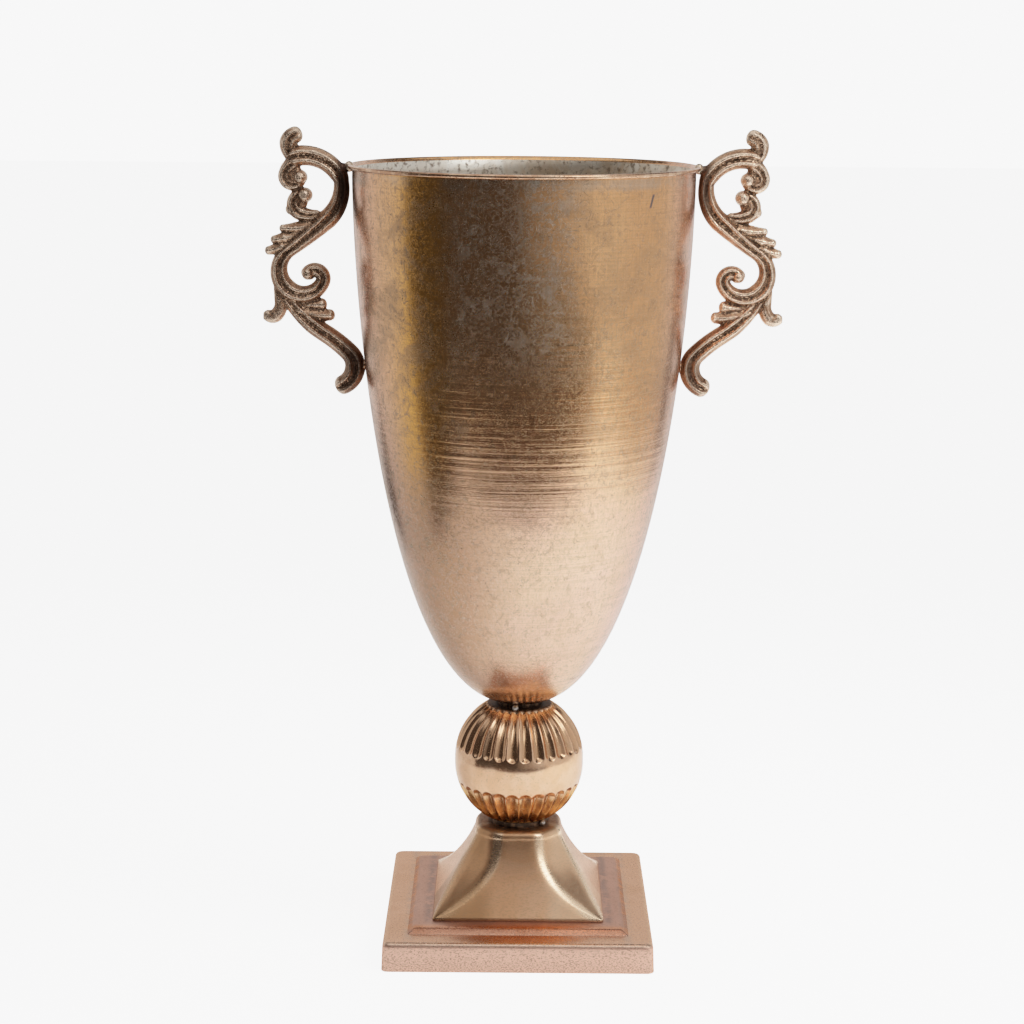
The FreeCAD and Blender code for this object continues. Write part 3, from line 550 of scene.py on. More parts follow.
# %% Cup's outline
CUP_RADIUS, CUP_CURVE, MOUTH = 102.7, 330.1, 477.0
SIDE_POWER, ROUND_POWER = 1.755, 2.454
CUP_WALL, SEAT_RADIUS = 1.2, 15.0
BEAD_RADIUS, BEAD_OUT, BEAD_UP = 1.35, 1.25, 1.0
BEAD_ACROSS, BEAD_HEIGHT = CUP_RADIUS + BEAD_OUT, MOUTH + BEAD_UP


def cup_outline(radius, depth, last_radius, steps):
    """r = R cos(a)^(2/q) and z = mouth - H sin(a)^(2/p), from the mouth down."""
    last = math.acos((last_radius / radius) ** (ROUND_POWER / 2))
    angle = last * np.linspace(0, 1, steps) ** 0.8
    across = radius * np.cos(angle) ** (2 / ROUND_POWER)
    return np.stack([across, MOUTH - depth * np.sin(angle) ** (2 / SIDE_POWER)], axis=1)


outer_line = cup_outline(CUP_RADIUS, CUP_CURVE, SEAT_RADIUS, 170)
inner_line = cup_outline(CUP_RADIUS - CUP_WALL, CUP_CURVE - CUP_WALL, SEAT_RADIUS, 110)
roll = np.radians(np.linspace(-150, 118, 22))
bead_line = np.stack([BEAD_ACROSS + BEAD_RADIUS * np.cos(roll), BEAD_HEIGHT + BEAD_RADIUS * np.sin(roll)], 1)
cup_profile = np.concatenate([outer_line[::-1], bead_line, inner_line])
print("points on the cup's outline:", len(cup_profile))

# %% Cup


def full_circle(columns):
    """Angles all the way round, as one row."""
    return 2 * np.pi * np.arange(columns)[None, :] / columns


def spun(profile, columns):
    """Points (rows, columns, 3): each (radius, height) of a profile carried round
    the Z axis, x = r cos a and y = r sin a."""
    angle = full_circle(columns)
    radius, height = profile[:, :1], profile[:, 1:2]
    return np.stack([radius * np.cos(angle), radius * np.sin(angle), height + 0 * angle], axis=-1)


def cup_radius_at(height, radius, depth):
    """The outline's radius at a height, R (1 - (drop / H)^p)^(1/q), all in mm."""
    drop = np.clip((MOUTH - height) / depth, 0, 1)
    return radius * (1 - drop ** SIDE_POWER) ** (1 / ROUND_POWER)


cup_mesh = skin("cup_skin", spun(cup_profile, 288) * MM)
middles = read(cup_mesh.polygons, "center") / MM
middle_across = np.hypot(middles[:, 0], middles[:, 1])
on_bead = np.hypot(middle_across - BEAD_ACROSS, middles[:, 2] - BEAD_HEIGHT) < BEAD_RADIUS + 0.05
mid_wall = cup_radius_at(middles[:, 2], CUP_RADIUS - CUP_WALL / 2, CUP_CURVE - CUP_WALL / 2)
finish_number = np.where(on_bead, 2, np.where(middle_across < mid_wall, 1, 0))
piece("cup_skin", cup_mesh, "cup_metal", "cup", outside, inside, rim_metal)
cup_mesh.polygons.foreach_set("material_index", finish_number.astype(np.int32))
print("faces outside, inside and on the rim:", np.bincount(finish_number).tolist())

# %% [markdown]
# ## Ball metal
# The ball's two halves are cast, polished and then darkened in the flutes, where
# a cloth can't reach. The mesh tells the finish how deep each point lies, so the
# dark stays in the hollows however the light falls. Below the band the metal is
# a deeper orange.

# %% Ball metal
BALL_RADIUS, BALL_MIDDLE, BALL_SKIRT = 40.3, 109.4, 1.5

ball_metal = Finish("ball_metal")
deep = ball_metal.worked("hollow")
ball_rise = ball_metal.axis(2) - BALL_MIDDLE * MM
# Painted shade: next to both necks the ball turns nearly black, for the shade in the crevices
painted_shade_by_neck = ball_rise.size().ramp(0.0350, 0.0366)
below_band = ball_rise.ramp(-0.012, -0.022)
cloudy = ball_metal.noise(60.0, 4, 0.6, 1.0).ramp(0.38, 0.66)
dots = ball_metal.noise(900.0, 3, 0.55).ramp(0.55, 0.72)
worn_ball = ball_metal.coats(
    (0.78, 0.44, 0.26),
    (cloudy, (0.86, 0.53, 0.34)),
    (below_band * 0.8, (0.90, 0.50, 0.18)),
    (deep * (0.4 + cloudy * 0.4 + below_band * 0.2), (0.34, 0.17, 0.07)),
    (dots * 0.3, (0.3, 0.17, 0.09)),
    (painted_shade_by_neck * 0.95, (0.035, 0.022, 0.015)),
)
dulled_by = deep * 0.08 + dots * 0.1 + painted_shade_by_neck * 0.4
ball_metal.wear(worn_ball, 0.15 + dulled_by, (ball_metal.noise(45.0, 2, 0.5), 0.00012), (dots, 0.00001))

# %% [markdown]
# ## Fluted ball
# Each half is a sphere with thirty round hollows that run up to the neck and end
# in a half circle near the middle band. Cutting thirty grooves with a tool shape
# would leave thin slivers of faces. Here the radius itself is a function of
# longitude and latitude: the sphere's radius less the depth of the hollow.

# %% Flutes
FLUTES = 30
FLUTE_PITCH = 2 * np.pi / FLUTES
FLUTE_COLUMNS = 18
FLUTE_RUN_OUT = 0.05


def hollow_share(longitude, latitude, start):
    """How deep a point lies in its flute, from 0 on the land to 1 at the root:
    (1 - s^2)^1.3, where s goes from 0 on the flute's middle line to 1 at its edge
    and round its end."""
    beside = (np.mod(longitude + FLUTE_PITCH / 2, FLUTE_PITCH) - FLUTE_PITCH / 2) / (FLUTE_PITCH / 2)
    half_width = FLUTE_PITCH / 2 * np.cos(latitude)
    beyond = np.clip((start - latitude) / half_width + 0.75, 0, None)
    spread = np.hypot(beside, beyond)
    return np.clip(1 - spread ** 2, 0, 1) ** 1.3


print("flute width at the band in mm:", round(BALL_RADIUS * FLUTE_PITCH, 2))

# %% Halves of the ball
BALL_FLAT, BALL_HOLE, BALL_WALL, BALL_CEILING = 19.5, 9.3, 5.0, 28.0
FLAT_EDGE, HOLE_EDGE, JOINT = 0.4, 0.1, 0.005
SKIRT_ROWS = (0.003, 0.2, BALL_SKIRT - 0.1)


def ball_inside(up, flat_height):
    """The flat neck, the hole and the plain inner wall, as (radius, height)."""
    inner = BALL_RADIUS - BALL_WALL
    bend = np.radians(np.linspace(70, 0, 24))
    wall_rise = np.minimum(inner * np.sin(bend), BALL_CEILING)
    wall = np.stack([inner * np.cos(bend), BALL_MIDDLE + up * wall_rise], axis=1)
    hole = [
        [BALL_FLAT - FLAT_EDGE, flat_height],
        [BALL_HOLE + HOLE_EDGE, flat_height],
        [BALL_HOLE, flat_height - up * HOLE_EDGE],
        [BALL_HOLE, BALL_MIDDLE + up * BALL_CEILING],
    ]
    return np.concatenate([hole, wall, [[BALL_RADIUS, BALL_MIDDLE]]])


def fluted_half(name, node, up, start_degrees, depth):
    """One half of the ball: a short straight skirt, and on it the sphere with
    r = R - depth * share * (0.35 + 0.65 cos(latitude)). Its inside closes it. The
    thin ring at the joint is shaded flat, so that no highlight bends into it."""
    top = math.acos(BALL_FLAT / BALL_RADIUS)
    latitude = np.concatenate([[0.0], np.linspace(0.012, top, 110)])[:, None]
    columns = FLUTES * FLUTE_COLUMNS
    longitude = full_circle(columns)
    share = hollow_share(longitude, latitude, math.radians(start_degrees))
    share = share * np.clip((top - latitude) / FLUTE_RUN_OUT, 0, 1)
    radius = BALL_RADIUS - depth * share * (0.35 + 0.65 * np.cos(latitude))
    rise = BALL_SKIRT + radius * np.sin(latitude)
    skirt = np.array(SKIRT_ROWS)[:, None]
    across = np.concatenate([BALL_RADIUS + 0 * skirt * longitude, radius * np.cos(latitude)])
    height = BALL_MIDDLE + up * np.concatenate([skirt + 0 * longitude, rise])
    outer = np.stack([across * np.cos(longitude), across * np.sin(longitude), height], axis=-1)
    flat_height = BALL_MIDDLE + up * (BALL_SKIRT + BALL_RADIUS * math.sin(top))
    rest = spun(ball_inside(up, flat_height), columns)
    mesh = skin(name, np.concatenate([outer, rest]) * MM, loop=True)
    off_joint = np.abs(read(mesh.polygons, "center")[:, 2] - BALL_MIDDLE * MM) > JOINT * MM
    mesh.polygons.foreach_set("use_smooth", off_joint)
    spots = read(mesh.vertices, "co") / MM
    reach = np.hypot(np.hypot(spots[:, 0], spots[:, 1]), up * (spots[:, 2] - BALL_MIDDLE) - BALL_SKIRT)
    give(mesh, "hollow", np.clip((BALL_RADIUS - reach) / depth, 0, 1) * (reach > BALL_RADIUS - depth * 1.1))
    piece(name, mesh, "knop_metal", node, ball_metal)


fluted_half("ball_upper", "knop_upper", 1, 11.5, 2.1)
fluted_half("ball_lower", "knop_lower", -1, 16.0, 2.3)

# %% [markdown]
# ## Square forms
# The pedestal and the plinth are not turned but square, with softened corners.
# Both are a row of outlines, one above the other. An outline is a list of
# corners, and each corner is rounded with the curve that leaves one edge and
# arrives on the next. Bevelling a sharp block gives the same look, but the
# outline can change from square to eight-sided on the way up only in this form.

# %% Square forms


def rounded_rings(corners, soften, heights, corner_steps, side_steps):
    """Outlines (rows, columns, 3). At each corner V with unit edges a and b the
    curve is V + t((1-s)^2 a + s^2 b), t being how far the rounding reaches, and
    0.42 of the shorter edge at most."""
    before = np.roll(corners, 1, axis=1) - corners
    after = np.roll(corners, -1, axis=1) - corners
    long_before = np.linalg.norm(before, axis=-1, keepdims=True)
    long_after = np.linalg.norm(after, axis=-1, keepdims=True)
    reach = np.minimum(soften[:, None, None], 0.42 * np.minimum(long_before, long_after))
    s = np.linspace(0, 1, corner_steps)[None, None, :, None]
    leave = (1 - s) ** 2 * (before / long_before)[:, :, None]
    arrive = s ** 2 * (after / long_after)[:, :, None]
    bend = corners[:, :, None] + reach[:, :, None] * (leave + arrive)
    side = np.linspace(0, 1, side_steps + 2)[1:-1][None, None, :, None]
    start, end = bend[:, :, -1:], np.roll(bend, -1, axis=1)[:, :, :1]
    straight = start + (end - start) * side
    flat = np.concatenate([bend, straight], axis=2).reshape(len(corners), -1, 2)
    level = np.broadcast_to(heights[:, None, None], flat.shape[:2] + (1,))
    return np.concatenate([flat, level], axis=2)


def corners_at(*places):
    """Corners (rows, count, 2) from the (x, y) of each corner on every row."""
    return np.array(places).transpose(2, 0, 1)


# %% [markdown]
# ## Pedestal metal
# The pedestal is cast and satin finished, sandy on its faces and rubbed along
# its ridges to a pale gold. Painted shade darkens the upper part of its faces,
# its left side, the low left of its front and its top round the collar, and a
# painted highlight brightens its right bevel. The seam at its foot is darker.

# %% Pedestal metal
pedestal_metal = Finish("pedestal_metal")
ridge = pedestal_metal.worked("ridge").ramp(0.15, 0.8)
drift = pedestal_metal.noise(30.0, 5, 0.65, 0.8).ramp(0.4, 0.66)
sand = pedestal_metal.noise((500.0, 500.0, 1400.0), 4, 0.65).ramp(0.46, 0.62)
ped_across, ped_through, ped_up = [pedestal_metal.axis(number) for number in range(3)]
in_seam = ped_up.ramp(0.0228, 0.0212)
on_top = ped_up.ramp(0.0675, 0.0692)
front_side = ped_through.ramp(-0.008, -0.016)
left_bevel = ped_across.ramp(-0.012, -0.024) * front_side
right_bevel = ped_across.ramp(0.012, 0.024) * front_side
low_face = ped_up.ramp(0.045, 0.025) * ped_across.ramp(0.03, -0.02) * front_side
# Painted shade: the upper part of the faces, the left bevel and its ridge, and the low left of the front
shade = ped_up.ramp(0.036, 0.064) * 0.4 + left_bevel * 0.5 + ridge * left_bevel * 0.4 + low_face * 0.3
worn_pedestal = pedestal_metal.coats(
    (0.84, 0.44, 0.24),
    (drift, (0.88, 0.50, 0.30)),
    (shade, (0.40, 0.20, 0.09)),
    (sand * 0.4, (0.40, 0.24, 0.13)),
    # rubbed ridges, dimmed on the left by painted shade, and a painted highlight on the right bevel
    (ridge * (0.75 - left_bevel * 0.6) + right_bevel * 0.4, (0.95, 0.68, 0.46)),
    # painted shade on the top round the collar, and a darker seam at the foot
    (in_seam * 0.5 + on_top * 0.7, (0.09, 0.05, 0.03)),
)
satin = 0.3 + sand * 0.12 - ridge * 0.08 + on_top * 0.2
pedestal_metal.wear(worn_pedestal, satin, (pedestal_metal.noise(40.0, 2, 0.5), 0.00012), (sand, 0.000003))

# %% [markdown]
# ## Pedestal
# It is square on the plinth and eight-sided under the ball, and each of its sides
# sweeps up in a hollow curve. The half width falls with one power of the height
# and the corner's flat with a steeper one, so the bevels widen upwards. A row of
# the surface is a station: half width, half length of the flat, and height.

# %% Pedestal's stations
PLATE_TOP, FOOT_HALF, FOOT_LIP, CORNER_FLAT = 21.0, 52.6, 1.4, 1.2
SHOULDER_HALF, SHOULDER_FLAT, SHOULDER_DROP, SHOULDER_IN = 27.2, 14.4, 4.9, 4.4
PEDESTAL_TOP, PEDESTAL_UNDER, PEDESTAL_WALL = 69.3, 65.3, 3.0
SIDE_SWEEP, CORNER_SWEEP = 1.2, 2.4
SHOULDER_HEIGHT = PEDESTAL_TOP - SHOULDER_DROP
HOLE_HALF, HOLE_FLAT = 9.1, 3.8
HOLE_EDGE_HALF, HOLE_EDGE_FLAT = 10.0, 4.1
FOOT_EDGE = 0.3


def swept_side(share, top, bottom, wall):
    """Stations down a side, share going from 0 above to 1 below: the half width
    grows as share^1.2 and the flat as share^2.4."""
    half = SHOULDER_HALF - wall + (FOOT_HALF - SHOULDER_HALF) * share ** SIDE_SWEEP
    flat = SHOULDER_FLAT - wall + (FOOT_HALF - CORNER_FLAT - SHOULDER_FLAT) * share ** CORNER_SWEEP
    return np.column_stack([half, flat, top + (bottom - top) * share])


foot_stations = np.array([
    [FOOT_HALF - FOOT_EDGE, FOOT_HALF - FOOT_EDGE - CORNER_FLAT, PLATE_TOP],
    [FOOT_HALF, FOOT_HALF - CORNER_FLAT, PLATE_TOP + FOOT_EDGE],
    [FOOT_HALF, FOOT_HALF - CORNER_FLAT, PLATE_TOP + FOOT_LIP - FOOT_EDGE],
])
side_stations = swept_side(np.linspace(1, 0, 64), SHOULDER_HEIGHT, PLATE_TOP + FOOT_LIP, 0.0)
swing = np.radians(np.linspace(6, 90, 12))
inset = SHOULDER_IN * (1 - np.cos(swing))
shoulder_stations = np.column_stack([
    SHOULDER_HALF - inset,
    SHOULDER_FLAT - inset * math.tan(math.pi / 8),
    SHOULDER_HEIGHT + SHOULDER_DROP * np.sin(swing),
])
hole_stations = np.array([
    [HOLE_EDGE_HALF, HOLE_EDGE_FLAT, PEDESTAL_TOP],
    [HOLE_HALF, HOLE_FLAT, PEDESTAL_TOP],
    [HOLE_HALF, HOLE_FLAT, PEDESTAL_UNDER],
])
inner_stations = swept_side(np.linspace(0, 1, 10), PEDESTAL_UNDER, PLATE_TOP, PEDESTAL_WALL)
outside_stations = np.concatenate([foot_stations, side_stations, shoulder_stations])
pedestal_stations = np.concatenate([outside_stations, hole_stations, inner_stations])
print("stations outside and in all:", len(outside_stations), len(pedestal_stations))

# %% Pedestal
PEDESTAL_SOFTENING, RIDGE_IN, RIDGE_WIDTH = 6.5, 1.5, 3.0

half, flat, height_row = pedestal_stations.T
eight_corners = corners_at(
    (half, -flat), (half, flat), (flat, half), (-flat, half),
    (-half, flat), (-half, -flat), (-flat, -half), (flat, -half),
)
soften = np.full(len(half), PEDESTAL_SOFTENING)
pedestal_mesh = skin("pedestal_skin", rounded_rings(eight_corners, soften, height_row, 7, 8) * MM, loop=True)
spots = read(pedestal_mesh.vertices, "co") / MM
shorter_side = np.abs(spots[:, :2]).min(axis=1)
flat_there = np.interp(spots[:, 2], outside_stations[:, 2], outside_stations[:, 1])
give(pedestal_mesh, "ridge", np.exp(-(((shorter_side - flat_there + RIDGE_IN) / RIDGE_WIDTH) ** 2)))
piece("pedestal_skin", pedestal_mesh, "pedestal_metal", "pedestal", pedestal_metal)

# %% [markdown]
# ## Plinth metal
# The plinth is more coppery than the rest, with blotches. Soft bluish grey bands
# beside the raised frame and the pedestal are painted shade along the steps. Its
# top edge is rubbed bright and carries a painted highlight, and its side is
# speckled. The dull top of the frame shows less of the pedestal than the polished
# strip in front of it.

# %% Plinth metal
FRAME_SIDE, FOOT_SIDE, EDGE_UP = 0.067, 0.0555, 0.0174

plinth_metal = Finish("plinth_metal", Specular_Tint=(0.84, 0.64, 0.52, 1))
blotch = plinth_metal.noise(26.0, 6, 0.65, 1.2).ramp(0.42, 0.7)
east, north, rise = [plinth_metal.axis(number) for number in range(3)]
wander = plinth_metal.noise(60.0, 3, 0.6) * 0.005 - 0.0025
broken = plinth_metal.noise(120.0, 4, 0.65).ramp(0.36, 0.56)
# Painted shade along the steps beside the raised frame and the pedestal's foot
beside_frame = (east.size() - FRAME_SIDE + wander).close(0.0, 0.005)
beside_foot = (east.size() - FOOT_SIDE + wander).close(0.0, 0.0045) * north.ramp(-0.06, -0.05)
painted_step_shade = (beside_frame + beside_foot) * broken * rise.ramp(0.0172, 0.0178)
on_side = rise.ramp(0.0168, 0.0176, 1.0, 0.0)
on_frame = rise.ramp(0.0195, 0.0205) * north.ramp(-0.062, -0.056)
on_edge = (rise - EDGE_UP).close(0.0003, 0.0011)
grains = plinth_metal.noise((800.0, 800.0, 1500.0), 5, 0.75)
speck = (grains + on_side * (0.013 - rise) * 3.0).ramp(0.5, 0.62)
worn_plinth = plinth_metal.coats(
    (0.74, 0.37, 0.25),
    (blotch * (1 - on_side * 0.5), (0.62, 0.28, 0.17)),
    (on_side * 0.7, (0.86, 0.55, 0.43)),
    (on_frame * 0.55, (0.66, 0.50, 0.46)),
    (painted_step_shade * 0.6, (0.30, 0.25, 0.25)),
    # the rubbed top edge, brightened further as a painted highlight
    (on_edge * 0.6, (0.95, 0.70, 0.52)),
    (speck * (0.3 + on_side * 0.5), (0.30, 0.18, 0.13)),
)
dulled_by = speck * 0.1 + on_side * 0.14 + on_frame * 0.16
swells = plinth_metal.noise(32.0, 2, 0.5)
plinth_metal.wear(worn_plinth, 0.25 + dulled_by, (blotch, 0.00005), (speck, 0.00002), (swells, 0.0003))

# %% [markdown]
# ## Plinth
# A cast square slab, hollow below, with its edge rounded over and a raised frame
# under the pedestal. It is one closed line of stations, from the rim on the
# floor over the top and back through the hollow, carried round the square.

# %% Plinth's line
PLINTH_STATIONS = [
    # half width, height, corner radius in plan, rounding of the line
    (82.6, 0.0, 4.5, 0.5), (81.9, 18.0, 4.5, 3.2), (67.4, 18.0, 1.5, 0.7), (67.2, 18.4, 1.5, 0.2),
    (63.4, 21.0, 1.4, 1.2), (4.4, 21.0, 3.6, 0.1), (4.4, 18.0, 3.6, 0.1), (56.0, 18.0, 0.5, 0.1),
    (56.0, 15.0, 0.5, 0.1), (79.6, 15.0, 0.5, 0.5), (79.6, 0.0, 0.5, 0.3),
]


def softened_line(stations, gap):
    """A closed row of stations with their corners rounded, as in rounded_rings but
    over 0.45 of a side at most, and with their long sides divided into parts of
    about a gap."""
    stations = np.array(stations, dtype=float)
    rows = []
    for here, ahead, behind in zip(stations, np.roll(stations, -1, 0), np.roll(stations, 1, 0)):
        to_behind, to_ahead = behind[:2] - here[:2], ahead[:2] - here[:2]
        long_behind, long_ahead = np.hypot(*to_behind), np.hypot(*to_ahead)
        reach = min(here[3], 0.45 * long_behind, 0.45 * long_ahead)
        s = np.linspace(0, 1, 6)[:, None]
        bend = here[:2] + reach * ((1 - s) ** 2 * to_behind / long_behind + s ** 2 * to_ahead / long_ahead)
        leave = here[:2] + to_ahead * reach / long_ahead
        next_reach = min(ahead[3], 0.45 * long_ahead)
        arrive = ahead[:2] - to_ahead * next_reach / long_ahead
        parts = max(1, int(np.hypot(*(arrive - leave)) / gap))
        share = (np.arange(1, parts) / parts)[:, None]
        corner_radius = here[2] + (ahead[2] - here[2]) * share
        rows.append(np.column_stack([bend, np.full(len(bend), here[2])]))
        rows.append(np.column_stack([leave + (arrive - leave) * share, corner_radius]))
    return np.concatenate(rows)


plinth_half, plinth_height, plinth_soften = softened_line(PLINTH_STATIONS, 3.0).T
print("stations on the plinth's line:", len(plinth_half))

# %% Plinth
square = corners_at(
    (plinth_half, -plinth_half), (plinth_half, plinth_half),
    (-plinth_half, plinth_half), (-plinth_half, -plinth_half),
)
plinth_mesh = skin("plinth_skin", rounded_rings(square, plinth_soften, plinth_height, 9, 44) * MM, loop=True)
piece("plinth_skin", plinth_mesh, "plinth_metal", "plinth", plinth_metal)

# %% [markdown]
# ## Handle metal
# Cast brass, darkened all over and then rubbed: ridges shine, the stippled
# channels stay nearly black. The mesh carries how far each point stands out, and
# the finish turns that into colour and gloss. Painted shade darkens it beside the
# rim and the cup's wall, and over the whole left handle.

# %% Handle metal
handle_metal = Finish("handle_metal")
proud = handle_metal.worked("proud")
uneven = handle_metal.noise(330.0, 4, 0.65) * 0.7 - 0.35
worn = (proud + uneven).ramp(0.18, 0.52)
crest = (proud + uneven * 0.9).ramp(0.66, 0.95)
patch = handle_metal.noise(70.0, 4, 0.6).ramp(0.4, 0.6)
stipple = handle_metal.noise(700.0, 3, 0.65).ramp(0.42, 0.56)
out_x, up = handle_metal.axis(0).size(), handle_metal.axis(2)
# Painted shade: darker beside the rim and the cup's wall, and over the whole left handle
by_rim = out_x.ramp(0.1135, 0.1085) * up.ramp(0.40, 0.43) * 0.8
by_wall = out_x.ramp(0.115, 0.102) * up.ramp(0.41, 0.39) * 0.55
handle_painted_shade = by_rim + by_wall + handle_metal.axis(0).ramp(0.0, -0.1) * 0.22
channel = handle_metal.mix(stipple * 0.6 + patch * 0.35, (0.09, 0.05, 0.03), (0.74, 0.49, 0.33))
body = handle_metal.mix(patch, (0.40, 0.22, 0.13), (0.64, 0.39, 0.25))
worn_handle = handle_metal.coats(
    channel,
    (worn, body),
    (crest, (0.96, 0.72, 0.54)),
    (handle_painted_shade, (0.07, 0.04, 0.03)),
)
stippling = (stipple, (1 - worn * 0.8) * 0.0006)
casting = (handle_metal.noise(280.0, 3, 0.6), 0.0003)
handle_metal.wear(worn_handle, 0.2 - crest * 0.06 + handle_painted_shade * 0.14, stippling, casting)

# %% [markdown]
# ## Handles: the middle lines
# Each handle is a bundle of curling limbs: a long S, a lower stem, two small
# scrolls, a finial, a spur and five leaf lobes. A limb's middle line is a chain
# of tangent arcs, the way a carver sets out a scroll with compasses, and its
# width swells and tapers along the way. A drawn curve could follow the same
# path, but arcs give every limb a few true sizes.
#
# All places and sizes are shares of the handle's height, measured from the edge
# of the rim.

# %% Limbs of a handle
HANDLE, RIM_EDGE = 160.0, BEAD_ACROSS + BEAD_RADIUS
LIMBS = {
    # name: groove, start across, start up, heading in degrees, width,
    #       and the arcs, each a radius (minus to the right), a turn and the width at its end
    "main_scroll": (1.0, 0.195, 0.039, 167.5, 0.077, [
        (0.153, 68.5, 0.069), (0.065, 28, 0.058), (0.163, 54, 0.076), (1.98, 5.5, 0.054),
        (-0.0924, -103, 0.075), (-0.085, -104, 0.056), (-0.0318, -171, 0.056)]),
    "outer_spur": (0.3, 0.273, -0.431, -101, 0.02, [
        (-0.97, -4, 0.048), (0.0593, 63, 0.054), (0.0237, 85, 0.044)]),
    "lower_stem": (1.0, 0.230, -0.494, -125.5, 0.047, [
        (-0.4615, -16.7, 0.07), (-0.591, -5.6, 0.0705), (0.53, 12.6, 0.0725),
        (0.0737, 52.5, 0.078), (0.08, 58.4, 0.074)]),
    "middle_scroll": (0.8, 0.118, -0.1767, -10, 0.037, [
        (0.116, 32.6, 0.058), (0.0364, 136, 0.044), (0.024, 53, 0.044)]),
    "upper_scroll": (0.8, 0.203, 0.016, -31.4, 0.057, [
        (-0.0827, -34.4, 0.046), (-0.0304, -139, 0.052), (-0.0295, -58, 0.05)]),
    "finial": (0.6, 0.189, 0.0287, 24, 0.045, [(0.0545, 78, 0.0694), (0.0385, 61.5, 0.063)]),
    "upper_leaf_a": (0.0, 0.144, -0.2184, -16.9, 0.05, [(0.252, 11.6, 0.0496), (0.311, 9.9, 0.029)]),
    "upper_leaf_b": (0.0, 0.173, -0.246, -21, 0.02, [(0.43, 9.1, 0.05), (0.316, 7.6, 0.0315)]),
    "upper_leaf_c": (0.0, 0.204, -0.2757, -32, 0.024, [(0.271, 10.6, 0.05), (0.262, 11.8, 0.034)]),
    "lower_leaf_a": (0.0, 0.2192, -0.5177, 179.5, 0.02, [(-2.76, -1.2, 0.035), (-2.9, -1.2, 0.048)]),
    "lower_leaf_b": (0.0, 0.192, -0.5363, -160, 0.055, [(-0.304, -11.8, 0.055), (-0.295, -12, 0.0446)]),
}
STATION_GAP = 0.7
END_STATIONS, END_REACH = 7, 0.4


def rounded_end(place, heading, width, way):
    """Seven stations past the end of a limb. At t from 0.1 to 1 they lie 0.4 of
    the width times sin(90 t) further on, and have the width times cos(87.3 t)."""
    quarter = np.linspace(0.1, 1, END_STATIONS) * np.pi / 2
    ahead = np.array([math.cos(heading), math.sin(heading)])
    spots = place + way * END_REACH * width * np.sin(quarter)[:, None] * ahead
    return np.column_stack([spots, np.full(END_STATIONS, heading), width * np.cos(quarter * 0.97)])


def middle_line(start_across, start_up, heading, width, arcs):
    """Stations (x, z, heading, width) along a chain of arcs, in millimetres. On an
    arc the place is the centre plus the radius turned by the heading."""
    place = np.array([RIM_EDGE + start_across * HANDLE, MOUTH + start_up * HANDLE])
    heading, width = math.radians(heading), width * HANDLE
    rows = [rounded_end(place, heading, width, -1)[::-1], np.array([[*place, heading, width]])]
    for radius_share, turn, end_share in arcs:
        radius, turn, end = radius_share * HANDLE, math.radians(turn), end_share * HANDLE
        count = max(4, int(abs(radius * turn) / STATION_GAP))
        share = np.arange(1, count + 1) / count
        angle = heading + turn * share
        centre = place + radius * np.array([-math.sin(heading), math.cos(heading)])
        spot = centre + radius * np.stack([np.sin(angle), -np.cos(angle)], axis=1)
        rows.append(np.column_stack([spot, angle, width + (end - width) * share]))
        place, heading, width = spot[-1], heading + turn, end
    rows.append(rounded_end(place, heading, width, 1))
    return np.concatenate(rows)


lines = {name: middle_line(*rest) for name, (_, *rest) in LIMBS.items()}
print("limbs:", len(lines), "stations:", sum(len(line) for line in lines.values()))

# %% [markdown]
# ## Handles: limbs, lugs, eyes and webs
# One profile is carried along each line. On the scrolls it has two ridges and a
# sunk channel, and on the leaves a single crest. A short lug joins the handle to
# the rim and another to the cup's side. Each scroll curls round a drop, its eye,
# and thin webs of metal fill the small scrolls, as they do in a casting.

# %% Limb
LIMB_COLUMNS = 40


def limb_skin(stations, groove):
    """The profile carried along a middle line. Across it goes to half the width.
    Through it is a dome of 0.46 of the width. Where groove is 1, two round ridges
    stand at 0.46 of the way out with a hollow between. At 0 it has one crest."""
    x, z, heading, width = stations.T[:, :, None]
    angle = full_circle(LIMB_COLUMNS)
    across = np.sign(np.cos(angle)) * np.abs(np.cos(angle)) ** 0.9
    out = np.abs(across)
    dome = (1 - np.minimum(out, 1) ** 2) ** 0.5
    ridges = np.exp(-(((out - 0.46) / 0.17) ** 2))
    hollow = np.exp(-((out / 0.3) ** 2))
    scroll = 0.9 * dome + 0.16 * ridges - 0.3 * hollow
    leaf = 0.45 * dome + 0.5 * (1 - out) ** 1.1
    height = groove * scroll + (1 - groove) * leaf
    deep = np.sign(np.round(np.sin(angle), 9)) * height * width * 0.46
    sideways = across * width / 2
    return np.stack([x - np.sin(heading) * sideways, deep + 0 * x, z + np.cos(heading) * sideways], axis=-1)


grids = [limb_skin(lines[name], groove) for name, (groove, *_) in LIMBS.items()]
print("widest limb in mm:", round(max(line[:, 3].max() for line in lines.values()), 1))

# %% Lugs
LUG_TIP, LUG_ROOT = 2.4, 3.2
LUG_IN_RIM, LUG_OFF_WALL = 0.2, 0.1
FIRST_CURL = 200  # stations of the main scroll, from its start


def lug(tip_x, root_x, height):
    """A round arm from the cup to the handle, thicker at the handle."""
    length = np.linspace(0, 1, 8)[:, None]
    angle = full_circle(20)
    radius = LUG_TIP + (LUG_ROOT - LUG_TIP) * length
    x = tip_x + (root_x - tip_x) * length
    return np.stack([x + 0 * angle, radius * np.cos(angle), height + radius * np.sin(angle)], axis=-1)


